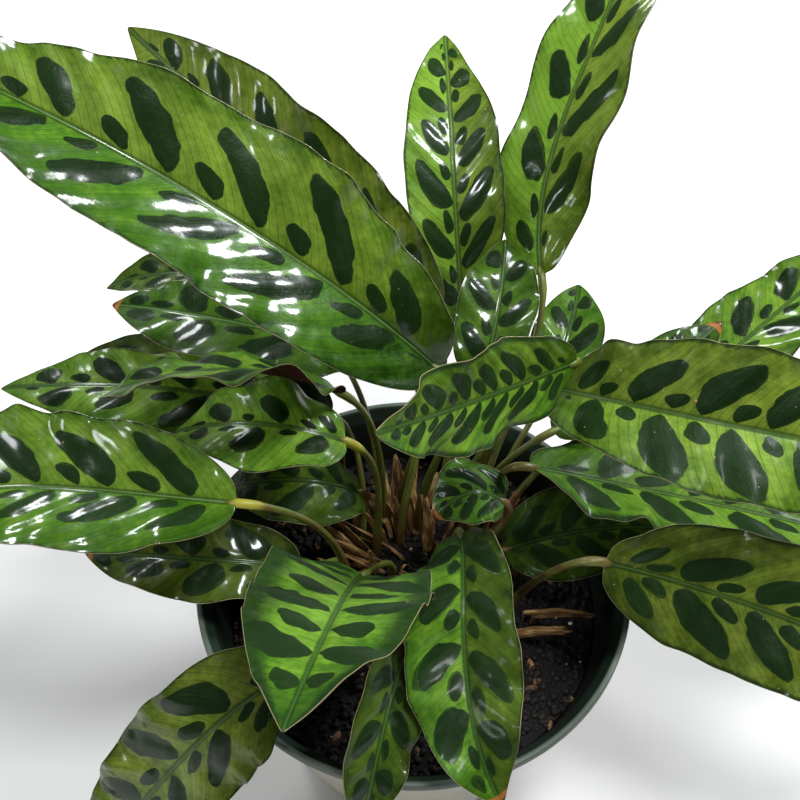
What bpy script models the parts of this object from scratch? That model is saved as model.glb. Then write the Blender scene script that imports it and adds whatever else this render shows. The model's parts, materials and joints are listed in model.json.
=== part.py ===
# A rattlesnake plant, a prayer plant with long spotted leaves, growing in a round nursery pot.
# Each leaf has a blade and a stem. The stems stand in plain holes in the soil.
# The frame's origin is the centre of the pot's underside, with +Z up. Sizes in the tables are millimetres.

import math
import random

import bpy
import numpy as np

MM = 0.001

pot = {
    "height": 108.0,
    "rim_radius": 80.0,
    "rim_height": 4.0,
    "lip": 2.2,
    "wall_top_radius": 76.6,
    "base_radius": 55.0,
    "wall": 2.0,
    "floor": 3.0,
    "edge": 0.8,
    "sides": 44,
    "drain_holes": 5,
    "drain_radius": 4.5,
    "drain_ring": 36.0,
    "drain_sides": 8,
}

# The soil's top is rings of points, each with half as many sides as the pot.
soil = {
    "level": 83.0,
    "mound": 4.0,
    "mound_radius": 70.0,
    "lumps": 1.2,
    "gap": 0.3,
    "ring_radii": (14.0, 30.0, 46.0, 60.0),
    "hole_depth": 10.0,
    "hole_gap": 0.35,
    "seed": 5,
}

blade = {
    "stations": 16,
    "columns": (-1.0, -0.52, 0.0, 0.52, 1.0),
    "widest": 0.43,
    "tip_power": 2.2,
    "base_half": 1.2,
    "tip_half": 0.5,
    "rib_thickness": 1.3,
    "inner_thickness": 0.8,
    "edge_thickness": 0.65,
    "wave_power": 1.6,
    "side_shift": 0.31,
}

stem = {
    "sides": 6,
    "spans": 5,
    "foot_radius": 2.1,
    "neck_radius": 1.35,
    "knuckle_radius": 1.6,
    "rise": 6.0,
    "gap": 0.35,
}

# foot: where the stem leaves the soil. path: the midrib, from the blade's base to its tip.
# roll lifts the blade's right side, in degrees, and twist is how much it turns from base to tip.
# fold is how far each half stands up from flat. wave: height of the margin's waves, their number and phase.
# reach: how straight the stem leaves the soil and meets the blade. arrive: its direction there, if not the blade's.
leaves = {
    "upper_left": dict(
        foot=(2, 31), path=((7, 20, 200), (-46, 26, 253), (-96, 38, 282), (-142, 56, 293)),
        width=57, roll=24, twist=-25, fold=26, cup=0.10, wave=(2.6, 3.6, 0.0), arrive=(-2, -1, 3),
    ),
    "upper_left_rear": dict(
        foot=(-4, 42), path=((6, 66, 172), (-44, 86, 222), (-99, 134, 248)),
        width=50, roll=55, twist=-10, fold=8, cup=0.05, wave=(2.0, 3.5, 0.3),
    ),
    "upright": dict(
        foot=(12, 43), path=((19, 82, 149), (15, 108, 197), (13, 184, 212)),
        width=39, roll=-14, twist=10, fold=8, cup=0.05, wave=(1.6, 3.0, 0.2),
    ),
    "upright_right": dict(
        foot=(27, 50), path=((47, 84, 178), (48, 109, 199), (58, 130, 226), (83, 186, 286)),
        width=44, roll=24, twist=-6, fold=6, cup=0.05, wave=(2.4, 3.6, 0.1),
    ),
    "upright_short": dict(
        foot=(20, 38), path=((24, 46, 160), (30, 66, 176), (34, 96, 184)),
        width=32, roll=6, twist=0, fold=22, cup=0.10, wave=(2.0, 2.5, 0.4),
    ),
    "rear_small": dict(
        foot=(32, 42), path=((51, 62, 136), (61, 84, 150), (66, 104, 152)),
        width=28, roll=0, twist=0, fold=10, cup=0.05, wave=(1.2, 2.0, 0.0),
    ),
    "centre": dict(
        foot=(18, 32), path=((51, 23, 200), (18, -7, 219), (-11, -40, 247)),
        width=32, roll=72, twist=10, fold=4, cup=0.05, wave=(1.8, 3.0, 0.5), arrive=(3, 0, 4),
    ),
    "right": dict(
        foot=(22, 16), path=((47, 30, 178), (82, 5, 196), (122, -2, 192), (175, 14, 160)),
        width=51, roll=-30, twist=-30, fold=20, cup=0.08, wave=(2.6, 3.4, 0.6),
    ),
    "right_under": dict(
        foot=(31, 33), path=((42, 20, 146), (90, 17, 134), (140, 5, 132), (182, 9, 112)),
        width=48, roll=10, twist=-10, fold=10, cup=0.06, wave=(3.2, 3.6, 0.2),
    ),
    "right_hidden": dict(
        foot=(26, 39), path=((52, 42, 138), (88, 60, 148), (119, 84, 152)),
        width=27, roll=-10, twist=0, fold=8, cup=0.05, wave=(1.5, 2.5, 0.0),
    ),
    "right_low": dict(
        foot=(40, 12), path=((34, 10, 106), (60, 13, 114), (90, 14, 116)),
        width=36, roll=-25, twist=-10, fold=14, cup=0.06, wave=(1.8, 2.6, 0.1),
    ),
    "right_front": dict(
        foot=(36, -6), path=((62, -22, 152), (89, -24, 142), (126, -38, 140), (180, -46, 96)),
        width=49, roll=-42, twist=6, fold=8, cup=0.06, wave=(2.2, 3.4, 0.7), reach=(0.1, 0.3),
    ),
    "front": dict(
        foot=(14, 12), path=((17, 6, 124), (16, -34, 138), (18, -68, 133), (27, -89, 118)),
        width=40, roll=-20, twist=7, fold=18, cup=0.08, wave=(2.2, 3.2, 0.4), widest=0.55,
    ),
    "front_curled": dict(
        foot=(21, 10), path=((32, 12, 136), (20, 10, 145), (7, 4, 138)),
        width=28, roll=10, twist=0, fold=16, cup=0.10, wave=(2.2, 1.8, 0.2),
    ),
    "front_left": dict(
        foot=(-8, 10), path=((-18, -11, 124), (-25, -61, 184), (-33, -103, 212)),
        width=56, roll=0, twist=-20, fold=16, cup=0.08, wave=(2.6, 3.0, 0.3),
    ),
    "front_left_low": dict(
        foot=(-6, -4), path=((-36, -42, 118), (-56, -58, 124), (-83, -72, 98), (-126, -90, 54)),
        width=43, roll=40, twist=-10, fold=-4, cup=0.05, wave=(2.4, 3.4, 0.1),
    ),
    "left": dict(
        foot=(-25, 4), path=((-58, -8, 166), (-87, -6, 168), (-137, 0, 163), (-185, 2, 132)),
        width=52, roll=16, twist=-10, fold=28, cup=0.06, wave=(2.4, 3.4, 0.5),
    ),
    "left_low": dict(
        foot=(-26, 12), path=((-41, -3, 117), (-67, -5, 124), (-121, 5, 113)),
        width=32, roll=12, twist=-20, fold=10, cup=0.05, wave=(2.0, 3.0, 0.0),
    ),
    "left_inner": dict(
        foot=(-14, 20), path=((-24, 22, 159), (-44, 20, 170), (-84, 28, 156)),
        width=36, roll=6, twist=0, fold=12, cup=0.10, wave=(2.2, 2.6, 0.2),
    ),
    "left_inner_low": dict(
        foot=(-20, 26), path=((-20, 32, 112), (-40, 24, 132), (-72, 32, 116)),
        width=34, roll=20, twist=0, fold=8, cup=0.05, wave=(2.0, 2.6, 0.5),
    ),
    "left_rear_curled": dict(
        foot=(-12, 34), path=((-26, 34, 171), (-62, 25, 194), (-104, 22, 183)),
        width=29, roll=-30, twist=10, fold=14, cup=0.10, wave=(2.6, 2.6, 0.1),
    ),
    "left_rear": dict(
        foot=(-20, 40), path=((-32, 60, 124), (-84, 68, 138), (-142, 74, 130)),
        width=42, roll=15, twist=0, fold=8, cup=0.05, wave=(2.0, 3.0, 0.6),
    ),
    "left_rear_low": dict(
        foot=(-29, 50), path=((-38, 48, 142), (-92, 48, 156), (-154, 56, 146)),
        width=38, roll=0, twist=0, fold=6, cup=0.05, wave=(2.0, 3.0, 0.2),
    ),
    "left_back": dict(
        foot=(-5, 25), path=((-7, 57, 159), (-54, 60, 175), (-113, 82, 164)),
        width=40, roll=8, twist=12, fold=14, cup=0.06, wave=(2.0, 3.0, 0.4),
    ),
    "left_back_low": dict(
        foot=(-13, 48), path=((-34, 84, 140), (-80, 104, 156), (-126, 116, 138)),
        width=30, roll=10, twist=0, fold=8, cup=0.05, wave=(1.6, 2.6, 0.0),
    ),
    "right_rear": dict(
        foot=(36, 32), path=((82, 62, 120), (122, 78, 138), (150, 97, 152), (180, 114, 166)),
        width=42, roll=10, twist=0, fold=10, cup=0.05, wave=(2.0, 3.2, 0.3),
    ),
    "front_small": dict(
        foot=(3, -6), path=((-3, -37, 120), (-9, -64, 130), (-18, -93, 98)),
        width=25, roll=35, twist=-20, fold=10, cup=0.06, wave=(1.6, 2.4, 0.1),
    ),
}

# The dried sheaths and cut stubs that stand among the stems: foot, top, radius and how flat they are.
dried = {
    "dry_sheath_1": dict(foot=(-27, 20), top=(-44, 24, 112), radius=2.6, flat=0.45, tip=0.5),
    "dry_sheath_2": dict(foot=(6, 22), top=(4, 27, 118), radius=2.6, flat=0.5, tip=0.5),
    "dry_sheath_3": dict(foot=(44, -8), top=(64, -20, 112), radius=3.0, flat=0.4, tip=0.4),
    "dry_stub": dict(foot=(35, -17), top=(57, -19, 98), radius=2.8, flat=0.6, tip=0.8),
}

# colour, roughness
finishes = {
    "pot": ((0.80, 0.78, 0.68), 0.45),
    "soil": ((0.020, 0.014, 0.010), 0.95),
    "leaf": ((0.13, 0.30, 0.03), 0.28),
    "stem": ((0.21, 0.22, 0.07), 0.45),
    "dried": ((0.32, 0.15, 0.06), 0.80),
}


def clear_scene():
    for item in list(bpy.data.objects):
        bpy.data.objects.remove(item, do_unlink=True)


def finish_of(name):
    material = bpy.data.materials.get(name)
    if material:
        return material
    colour, roughness = finishes[name]
    material = bpy.data.materials.new(name)
    material.use_nodes = True
    shader = material.node_tree.nodes["Principled BSDF"]
    shader.inputs["Base Color"].default_value = (*colour, 1.0)
    shader.inputs["Roughness"].default_value = roughness
    shader.inputs["Metallic"].default_value = 0.0
    return material


def add_mesh(name, points, faces, finish, smooth=True):
    mesh = bpy.data.meshes.new(name)
    mesh.from_pydata((np.asarray(points, float) * MM).tolist(), [], [tuple(face) for face in faces])
    mesh.validate()
    if smooth:
        mesh.shade_smooth()
        mesh.set_sharp_from_angle(angle=math.radians(40))
    made = bpy.data.objects.new(name, mesh)
    bpy.context.scene.collection.objects.link(made)
    mesh.materials.append(finish_of(finish))
    return made


def unit(vectors):
    return vectors / np.maximum(np.linalg.norm(vectors, axis=-1, keepdims=True), 1e-12)


# One polynomial through all the points, spaced along it by the lengths of the straight runs between them.
def curve_through(path, t):
    path = np.asarray(path, float)
    runs = np.linalg.norm(np.diff(path, axis=0), axis=1)
    knots = np.concatenate([[0.0], np.cumsum(runs)]) / runs.sum()
    curve = np.zeros((len(t), 3))
    for i, point in enumerate(path):
        weight = np.ones(len(t))
        for j in range(len(path)):
            if j != i:
                weight *= (t - knots[j]) / (knots[i] - knots[j])
        curve += weight[:, None] * point
    return curve


def direction_along(path, t):
    step = 0.002
    return unit(curve_through(path, t + step) - curve_through(path, t - step))


# The blade's half width, from 0 to 1: a round base, widest before the middle, and a long tip.
def outline(t, widest):
    rise = np.clip(t / widest, 0, 1)
    fall = np.clip((t - widest) / (1 - widest), 0, 1)
    return np.where(t < widest, np.sqrt(1 - (1 - rise) ** 2), 1 - fall ** blade["tip_power"])


# The blade's middle surface at stations t along the midrib and s across it, from -1 on the left to 1 on the right.
def blade_surface(leaf, t, s):
    middle = curve_through(leaf["path"], t)
    along = direction_along(leaf["path"], t)
    level = unit(np.cross(along, (0.0, 0.0, 1.0)))  # to the right, seen from above
    above = np.cross(level, along)
    turn = np.radians(leaf["roll"] + leaf["twist"] * (t - 0.5))[:, None]
    across = np.cos(turn) * level + np.sin(turn) * above
    up = np.cross(across, along)
    shape = outline(t, leaf.get("widest", blade["widest"]))[:, None]
    end = blade["base_half"] + (blade["tip_half"] - blade["base_half"]) * t[:, None]
    half = end + (leaf["width"] / 2 - end) * shape
    side = np.abs(s)[None, :]
    height, count, phase = leaf["wave"]
    left = (s < 0)[None, :]
    swing = np.sin(2 * math.pi * (count * t[:, None] + phase + blade["side_shift"] * left))
    wave = height * np.minimum(1, 1.3 * shape) * side ** blade["wave_power"] * swing
    fold = math.radians(leaf["fold"])
    sideways = half * s[None, :] * math.cos(fold)
    upward = half * (side * math.sin(fold) - leaf["cup"] * side**2) + wave
    return middle[:, None] + sideways[..., None] * across[:, None] + upward[..., None] * up[:, None]


def grid_normals(grid):
    along = np.gradient(grid, axis=0)
    across = np.gradient(grid, axis=1)
    return unit(np.cross(across, along))


def make_blade(name, leaf):
    t = np.linspace(0, 1, blade["stations"] + 1)
    s = np.array(blade["columns"])
    grid = blade_surface(leaf, t, s)
    normals = grid_normals(grid)
    thickness = np.interp(
        np.abs(s), (0.0, 0.5, 1.0), (blade["rib_thickness"], blade["inner_thickness"], blade["edge_thickness"])
    )
    offset = normals * thickness[None, :, None] / 2
    rows, columns = grid.shape[:2]
    points = np.concatenate([(grid + offset).reshape(-1, 3), (grid - offset).reshape(-1, 3)])
    under = rows * columns
    faces = []
    for i in range(rows - 1):
        for j in range(columns - 1):
            a, b = i * columns + j, i * columns + j + 1
            c, d = a + columns, b + columns
            faces += [(a, b, d), (a, d, c)]
            faces += [(a + under, d + under, b + under), (a + under, c + under, d + under)]
    border = [(i * columns, (i + 1) * columns) for i in range(rows - 1)]
    border += [((rows - 1) * columns + j, (rows - 1) * columns + j + 1) for j in range(columns - 1)]
    border += [((i + 1) * columns + columns - 1, i * columns + columns - 1) for i in range(rows - 1)]
    border += [(j + 1, j) for j in range(columns - 1)]
    for a, b in border:
        faces += [(a, b, b + under), (a, b + under, a + under)]
    return add_mesh(name, points, faces, "leaf")


def bezier(controls, t):
    a, b, c, d = (np.asarray(point, float) for point in controls)
    t = t[:, None]
    return (1 - t) ** 3 * a + 3 * (1 - t) ** 2 * t * b + 3 * (1 - t) * t**2 * c + t**3 * d


# The stem's centre line: straight up out of its hole, then a bend to just short of the blade's base.
def stem_line(leaf):
    base = np.asarray(leaf["path"][0], float)
    facing = direction_along(leaf["path"], np.array([0.0]))[0]
    arrive = unit(np.asarray(leaf.get("arrive", facing), float))
    low = np.array([*leaf["foot"], soil["level"] - soil["hole_depth"] + soil["gap"]])
    start = np.array([*leaf["foot"], soil["level"] + stem["rise"]])
    tilt = np.linalg.norm(np.cross(facing, arrive))
    end = base - facing * (stem["gap"] + stem["knuckle_radius"] * tilt)
    length = np.linalg.norm(end - start)
    leave_reach, arrive_reach = leaf.get("reach", (0.4, 0.3))
    controls = (start, start + (0, 0, leave_reach * length), end - arrive * arrive_reach * length, end)
    bend = bezier(controls, np.linspace(0, 1, stem["spans"] + 1))
    return np.concatenate([[low], bend]), arrive


# Rings round a line, each turned as little as possible from the one before.
def tube(line, end_direction, radii, sides, flat=1.0):
    along = unit(np.gradient(line, axis=0))
    along[-1] = end_direction
    first = np.array([1.0, 0.0, 0.0])
    points = []
    for centre, direction, radius in zip(line, along, radii):
        first = unit(first - direction * (first @ direction))
        second = np.cross(direction, first)
        for k in range(sides):
            angle = 2 * math.pi * k / sides
            points.append(centre + radius * (math.cos(angle) * first + flat * math.sin(angle) * second))
    rings = len(line)
    faces = [tuple(reversed(range(sides))), tuple(range((rings - 1) * sides, rings * sides))]
    for i in range(rings - 1):
        for k in range(sides):
            a, b = i * sides + k, i * sides + (k + 1) % sides
            faces += [(a, b, b + sides), (a, b + sides, a + sides)]
    return points, faces


def make_stem(name, leaf):
    line, arrive = stem_line(leaf)
    t = np.linspace(0, 1, len(line))
    foot, neck, knuckle = stem["foot_radius"], stem["neck_radius"], stem["knuckle_radius"]
    radii = np.interp(t, (0, 0.25, 0.6, 0.85, 1), (foot, foot, neck, neck, knuckle))
    points, faces = tube(line, arrive, radii, stem["sides"])
    return add_mesh(name, points, faces, "stem")


def make_dried(name, piece):
    low = np.array([*piece["foot"], soil["level"] - soil["hole_depth"] + soil["gap"]])
    start = np.array([*piece["foot"], soil["level"] + stem["rise"]])
    top = np.array(piece["top"], float)
    line = np.array([low, start, start * 0.5 + top * 0.5 + (0, 0, 2), top])
    radii = piece["radius"] * np.array([1.0, 1.0, 0.9, piece["tip"]])
    points, faces = tube(line, unit(top - line[2]), radii, stem["sides"], piece["flat"])
    return add_mesh(name, points, faces, "dried")


# A solid turned round +Z from a profile of (radius, height), up the outside and down the inside.
def turned(name, profile, sides, finish):
    points = []
    for radius, height in profile:
        for k in range(sides):
            angle = 2 * math.pi * k / sides
            points.append((radius * math.cos(angle), radius * math.sin(angle), height))
    faces = [tuple(reversed(range(sides))), tuple(range((len(profile) - 1) * sides, len(profile) * sides))]
    for i in range(len(profile) - 1):
        for k in range(sides):
            a, b = i * sides + k, i * sides + (k + 1) % sides
            faces.append((a, b, b + sides, a + sides))
    return add_mesh(name, points, faces, finish)


# The pot's inner wall, as far inside its outer wall at every height.
def inner_radius(height):
    top = pot["height"] - pot["rim_height"]
    share = (height - pot["floor"]) / (top - pot["floor"])
    slope = (pot["wall_top_radius"] - pot["base_radius"]) / top
    low = pot["base_radius"] + slope * pot["floor"] - pot["wall"]
    high = pot["wall_top_radius"] - pot["wall"]
    return low + (high - low) * share


def cutter(name, x, y, radius, low, high, sides):
    points = []
    for height in (low, high):
        for k in range(sides):
            angle = 2 * math.pi * k / sides
            points.append((x + radius * math.cos(angle), y + radius * math.sin(angle), height))
    faces = [tuple(reversed(range(sides))), tuple(range(sides, 2 * sides))]
    faces += [(k, (k + 1) % sides, (k + 1) % sides + sides, k + sides) for k in range(sides)]
    made = add_mesh(name, points, faces, "soil", smooth=False)
    made.hide_render = True
    made.display_type = "WIRE"
    return made


# Cuts all the cutters out of a body at once, then removes them.
def cut_out(body, cutters):
    group = bpy.data.collections.new(body.name + "_holes")
    for item in cutters:
        group.objects.link(item)
    modifier = body.modifiers.new("holes", "BOOLEAN")
    modifier.operation = "DIFFERENCE"
    modifier.operand_type = "COLLECTION"
    modifier.collection = group
    graph = bpy.context.evaluated_depsgraph_get()
    cut = bpy.data.meshes.new_from_object(body.evaluated_get(graph))
    body.modifiers.remove(modifier)
    body.data = cut
    for item in cutters:
        bpy.data.objects.remove(item, do_unlink=True)
    bpy.data.collections.remove(group)


def make_pot():
    edge = pot["edge"]
    top = pot["height"]
    under_rim = top - pot["rim_height"]
    rim = pot["rim_radius"]
    lip = rim - pot["lip"]
    profile = (
        (pot["base_radius"] - edge, 0),
        (pot["base_radius"], edge),
        (pot["wall_top_radius"], under_rim - edge),
        (rim - edge / 2, under_rim),
        (rim, under_rim + edge),
        (rim, top - edge),
        (rim - edge, top),
        (lip + edge, top),
        (lip, top - edge),
        (inner_radius(under_rim - pot["wall"]), under_rim - pot["wall"]),
        (inner_radius(pot["floor"]), pot["floor"]),
    )
    body = turned("pot", profile, pot["sides"], "pot")
    past = 2.0  # how far a cutter runs past each face
    cutters = []
    for k in range(pot["drain_holes"]):
        angle = 2 * math.pi * k / pot["drain_holes"]
        x = pot["drain_ring"] * math.cos(angle)
        y = pot["drain_ring"] * math.sin(angle)
        radius, high = pot["drain_radius"], pot["floor"] + past
        cutters.append(cutter(f"drain_{k}", x, y, radius, -past, high, pot["drain_sides"]))
    cut_out(body, cutters)


# The soil fills the pot and rises in a low, lumpy mound at the crown.
def make_soil():
    draw = random.Random(soil["seed"])
    level = soil["level"]
    gap = soil["gap"]
    sides = pot["sides"]
    floor = pot["floor"] + gap
    points = []
    for height in (floor, level):
        radius = inner_radius(height) - gap
        for k in range(sides):
            angle = 2 * math.pi * k / sides
            points.append((radius * math.cos(angle), radius * math.sin(angle), height))
    faces = [tuple(reversed(range(sides)))]
    faces += [(k, (k + 1) % sides, (k + 1) % sides + sides, k + sides) for k in range(sides)]
    half = sides // 2
    outer = [sides + k for k in range(sides)]
    for radius in reversed(soil["ring_radii"]):
        first = len(points)
        for k in range(half):
            angle = 2 * math.pi * (k + 0.5) / half
            lift = soil["mound"] * (1 - (radius / soil["mound_radius"]) ** 2)
            height = level + lift + draw.uniform(-1, 1) * soil["lumps"]
            points.append((radius * math.cos(angle), radius * math.sin(angle), height))
        inner = [first + k for k in range(half)]
        if len(outer) == sides:
            for k in range(half):
                a, b, c = outer[2 * k], outer[2 * k + 1], outer[(2 * k + 2) % sides]
                faces += [(a, b, inner[k]), (b, c, inner[k]), (c, inner[(k + 1) % half], inner[k])]
        else:
            for k in range(half):
                m = (k + 1) % half
                faces += [(outer[k], outer[m], inner[m]), (outer[k], inner[m], inner[k])]
        outer = inner
    points.append((0, 0, level + soil["mound"]))
    faces += [(outer[k], outer[(k + 1) % half], len(points) - 1) for k in range(half)]
    body = add_mesh("soil", points, faces, "soil")
    cutters = []
    bottom = level - soil["hole_depth"]
    above = level + 4 * soil["mound"]
    for name, leaf in leaves.items():
        radius = stem["foot_radius"] + soil["hole_gap"]
        cutters.append(cutter(f"hole_{name}", *leaf["foot"], radius, bottom, above, stem["sides"]))
    for name, piece in dried.items():
        radius = piece["radius"] + soil["hole_gap"]
        cutters.append(cutter(f"hole_{name}", *piece["foot"], radius, bottom, above, stem["sides"]))
    cut_out(body, cutters)


clear_scene()
make_pot()
make_soil()
for name, leaf in leaves.items():
    make_blade(f"blade_{name}", leaf)
    make_stem(f"stem_{name}", leaf)
for name, piece in dried.items():
    make_dried(name, piece)
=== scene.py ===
# A rattlesnake plant with long, waved, spotted leaves, growing in a round nursery pot.
# The tables hold millimetres and degrees. The origin is the centre of the pot's underside, with +Z up.

import json
import math

import bpy
import numpy as np
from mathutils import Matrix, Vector

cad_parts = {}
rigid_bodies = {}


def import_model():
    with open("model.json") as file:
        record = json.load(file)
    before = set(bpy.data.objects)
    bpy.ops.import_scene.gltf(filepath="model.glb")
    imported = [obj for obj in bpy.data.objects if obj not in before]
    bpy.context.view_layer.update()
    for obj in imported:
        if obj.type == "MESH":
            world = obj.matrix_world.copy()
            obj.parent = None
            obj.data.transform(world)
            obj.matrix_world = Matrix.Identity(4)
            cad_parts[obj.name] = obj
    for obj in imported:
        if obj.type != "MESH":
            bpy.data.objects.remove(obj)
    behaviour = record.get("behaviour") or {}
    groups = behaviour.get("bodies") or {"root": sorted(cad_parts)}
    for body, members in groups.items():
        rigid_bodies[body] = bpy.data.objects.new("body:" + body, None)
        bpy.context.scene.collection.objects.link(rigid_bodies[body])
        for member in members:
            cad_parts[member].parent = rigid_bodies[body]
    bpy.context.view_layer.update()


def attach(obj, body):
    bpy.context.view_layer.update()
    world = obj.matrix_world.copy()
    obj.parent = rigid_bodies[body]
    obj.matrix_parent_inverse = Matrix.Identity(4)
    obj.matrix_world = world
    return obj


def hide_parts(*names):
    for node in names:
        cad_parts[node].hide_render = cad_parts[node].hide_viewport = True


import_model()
mm = 0.001


# Each vector divided by its own length.
def unit(vectors):
    return vectors / np.maximum(np.linalg.norm(vectors, axis=-1, keepdims=True), 1e-12)


# Eases from 0 at low to 1 at high, as 3x^2 - 2x^3 of the share of the way between them.
def ease(value, low, high):
    share = np.clip((value - low) / (high - low), 0, 1)
    return share * share * (3 - 2 * share)


# Soft lumps from -1 to 1: random numbers on a square net of cells, eased between each cell's four corners.
def lumps(x, y, cell, seed):
    net = np.random.default_rng(seed).uniform(-1, 1, (64, 64))
    column, row = np.asarray(x, float) / cell, np.asarray(y, float) / cell
    i, j = np.floor(column).astype(int), np.floor(row).astype(int)
    u, v = ease(column - i, 0, 1), ease(row - j, 0, 1)
    near = (1 - u) * net[i % 64, j % 64] + u * net[(i + 1) % 64, j % 64]
    far = (1 - u) * net[i % 64, (j + 1) % 64] + u * net[(i + 1) % 64, (j + 1) % 64]
    return (1 - v) * near + v * far


# A new object that shows this data, at the origin of the scene.
def addObject(name, data):
    made = bpy.data.objects.new(name, data)
    bpy.context.scene.collection.objects.link(made)
    return made


# Puts points (mm) and faces into a mesh, with its values at each point, and hangs it on the pot's frame.
def addPiece(name, points, faces, slotName, nodes, finish, values=None, places=None):
    groups = faces if isinstance(faces, list) else [faces]
    corners = np.concatenate([group.ravel() for group in groups])
    sizes = np.concatenate([np.full(len(group), group.shape[1]) for group in groups])
    mesh = bpy.data.meshes.new(name)
    mesh.vertices.add(len(points))
    mesh.vertices.foreach_set("co", (points * mm).astype(np.float32).ravel())
    mesh.loops.add(len(corners))
    mesh.loops.foreach_set("vertex_index", corners.astype(np.int32))
    mesh.polygons.add(len(sizes))
    mesh.polygons.foreach_set("loop_start", (np.cumsum(sizes) - sizes).astype(np.int32))
    mesh.update(calc_edges=True)
    for key, value in (values or {}).items():
        wide = value.ndim == 2
        layer = mesh.attributes.new(key, "FLOAT_VECTOR" if wide else "FLOAT", "POINT")
        layer.data.foreach_set("vector" if wide else "value", value.astype(np.float32).ravel())
    if places is not None:
        layer = mesh.uv_layers.new(name="OFBake")
        layer.uv.foreach_set("vector", places.astype(np.float32).ravel())
    mesh.validate()
    mesh.shade_smooth()
    mesh.materials.append(finish)
    piece = addObject(name, mesh)
    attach(piece, "root")
    if nodes:
        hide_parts(*nodes)
    return piece


# A closed thin body from a grid of points: its two faces lie along the grid's normals, above and below.
def closedSheet(upper, lower):
    rows, columns = upper.shape[:2]
    index = np.arange(rows * columns).reshape(rows, columns)
    a, b, c, d = index[:-1, :-1], index[:-1, 1:], index[1:, :-1], index[1:, 1:]
    under = rows * columns
    top = np.stack([a, b, d, c], -1).reshape(-1, 4)
    bottom = np.stack([a, c, d, b], -1).reshape(-1, 4) + under
    rim = np.concatenate([
        np.stack([index[:-1, 0], index[1:, 0]], -1),
        np.stack([index[-1, :-1], index[-1, 1:]], -1),
        np.stack([index[1:, -1], index[:-1, -1]], -1),
        np.stack([index[0, 1:], index[0, :-1]], -1),
    ])
    side = np.stack([rim[:, 0], rim[:, 1], rim[:, 1] + under, rim[:, 0] + under], -1)
    points = np.concatenate([upper.reshape(-1, 3), lower.reshape(-1, 3)])
    return points, np.concatenate([top, bottom, side])


# Where the sheet's parts lie on its own map: the upper face in the lower half of the square, the underside
# above it, and the rim in a thin strip along the top.
mapForm = {
    "along": (0.004, 0.992),  # where a part starts, and how far it runs
    "across": (0.005, 0.475),
    "underside": 0.49,
    "rim": (0.980, 0.996),
    "rimShare": 0.9,
}


# Upper face, underside and rim by mapForm: a point's row gives its place along, its column its place across.
def sheetPlaces(faces, rows, columns):
    count = rows * columns
    place = np.arange(2 * count) % count
    along = mapForm["along"][0] + mapForm["along"][1] * (place // columns) / (rows - 1)
    across = mapForm["across"][0] + mapForm["across"][1] * (place % columns) / (columns - 1)
    across = across + mapForm["underside"] * (np.arange(2 * count) >= count)
    places = np.stack([along, across], -1)[faces]
    body = 2 * (rows - 1) * (columns - 1)
    rim = len(faces) - body
    start = np.arange(rim) / rim
    end = start + mapForm["rimShare"] / rim
    low, high = mapForm["rim"]
    places[body:, :, 0] = np.stack([start, end, end, start], -1)
    places[body:, :, 1] = (low, low, high, high)
    return places.reshape(-1, 2)


# Evenly spaced angles round a full turn, the first one at 0.
def turnAngles(sides):
    return 2 * math.pi * np.arange(sides) / sides


# The faces of a stack of rings, closed at each end by a fan to one of the last two points.
def ringFaces(count, sides):
    index = np.arange(count * sides).reshape(count, sides)
    after = np.roll(index, -1, axis=1)
    body = np.stack([index[:-1], after[:-1], after[1:], index[1:]], -1).reshape(-1, 4)
    low = np.stack([after[0], index[0], np.full(sides, count * sides)], -1)
    high = np.stack([index[-1], after[-1], np.full(sides, count * sides + 1)], -1)
    return [body, low, high]


# Three values at each point of a sheet as one vector, the same for its upper face and its underside.
def bothFaces(*columns):
    return np.tile(np.stack(np.broadcast_arrays(*columns), -1).reshape(-1, 3), (2, 1))


# The cross product of a grid's slopes along and across it, at length 1.
def gridNormals(grid):
    return unit(np.cross(np.gradient(grid, axis=1), np.gradient(grid, axis=0)))


# A number inside a material. Sums and products of it add Math nodes.
class Number:
    def __init__(self, finish, socket):
        self.finish = finish
        self.socket = socket

    def join(self, operation, first, second=0.0):
        return self.finish.node("ShaderNodeMath", {"operation": operation}, {0: first, 1: second})

    def __add__(self, other):
        return self.join("ADD", self, other)

    def __sub__(self, other):
        return self.join("SUBTRACT", self, other)

    def __rsub__(self, other):
        return self.join("SUBTRACT", other, self)

    def __mul__(self, other):
        return self.join("MULTIPLY", self, other)

    def __truediv__(self, other):
        return self.join("DIVIDE", self, other)

    def __pow__(self, other):
        return self.join("POWER", self, other)

    def __abs__(self):
        return self.join("ABSOLUTE", self)

    __radd__ = __add__
    __rmul__ = __mul__

    def sine(self):
        return self.join("SINE", self)

    def floor(self):
        return self.join("FLOOR", self)

    def most(self, other):
        return self.join("MAXIMUM", self, other)

    def ease(self, low, high):
        smooth = {"interpolation_type": "SMOOTHSTEP"}
        return self.finish.node("ShaderNodeMapRange", smooth, {0: self, 1: low, 2: high})


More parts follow.
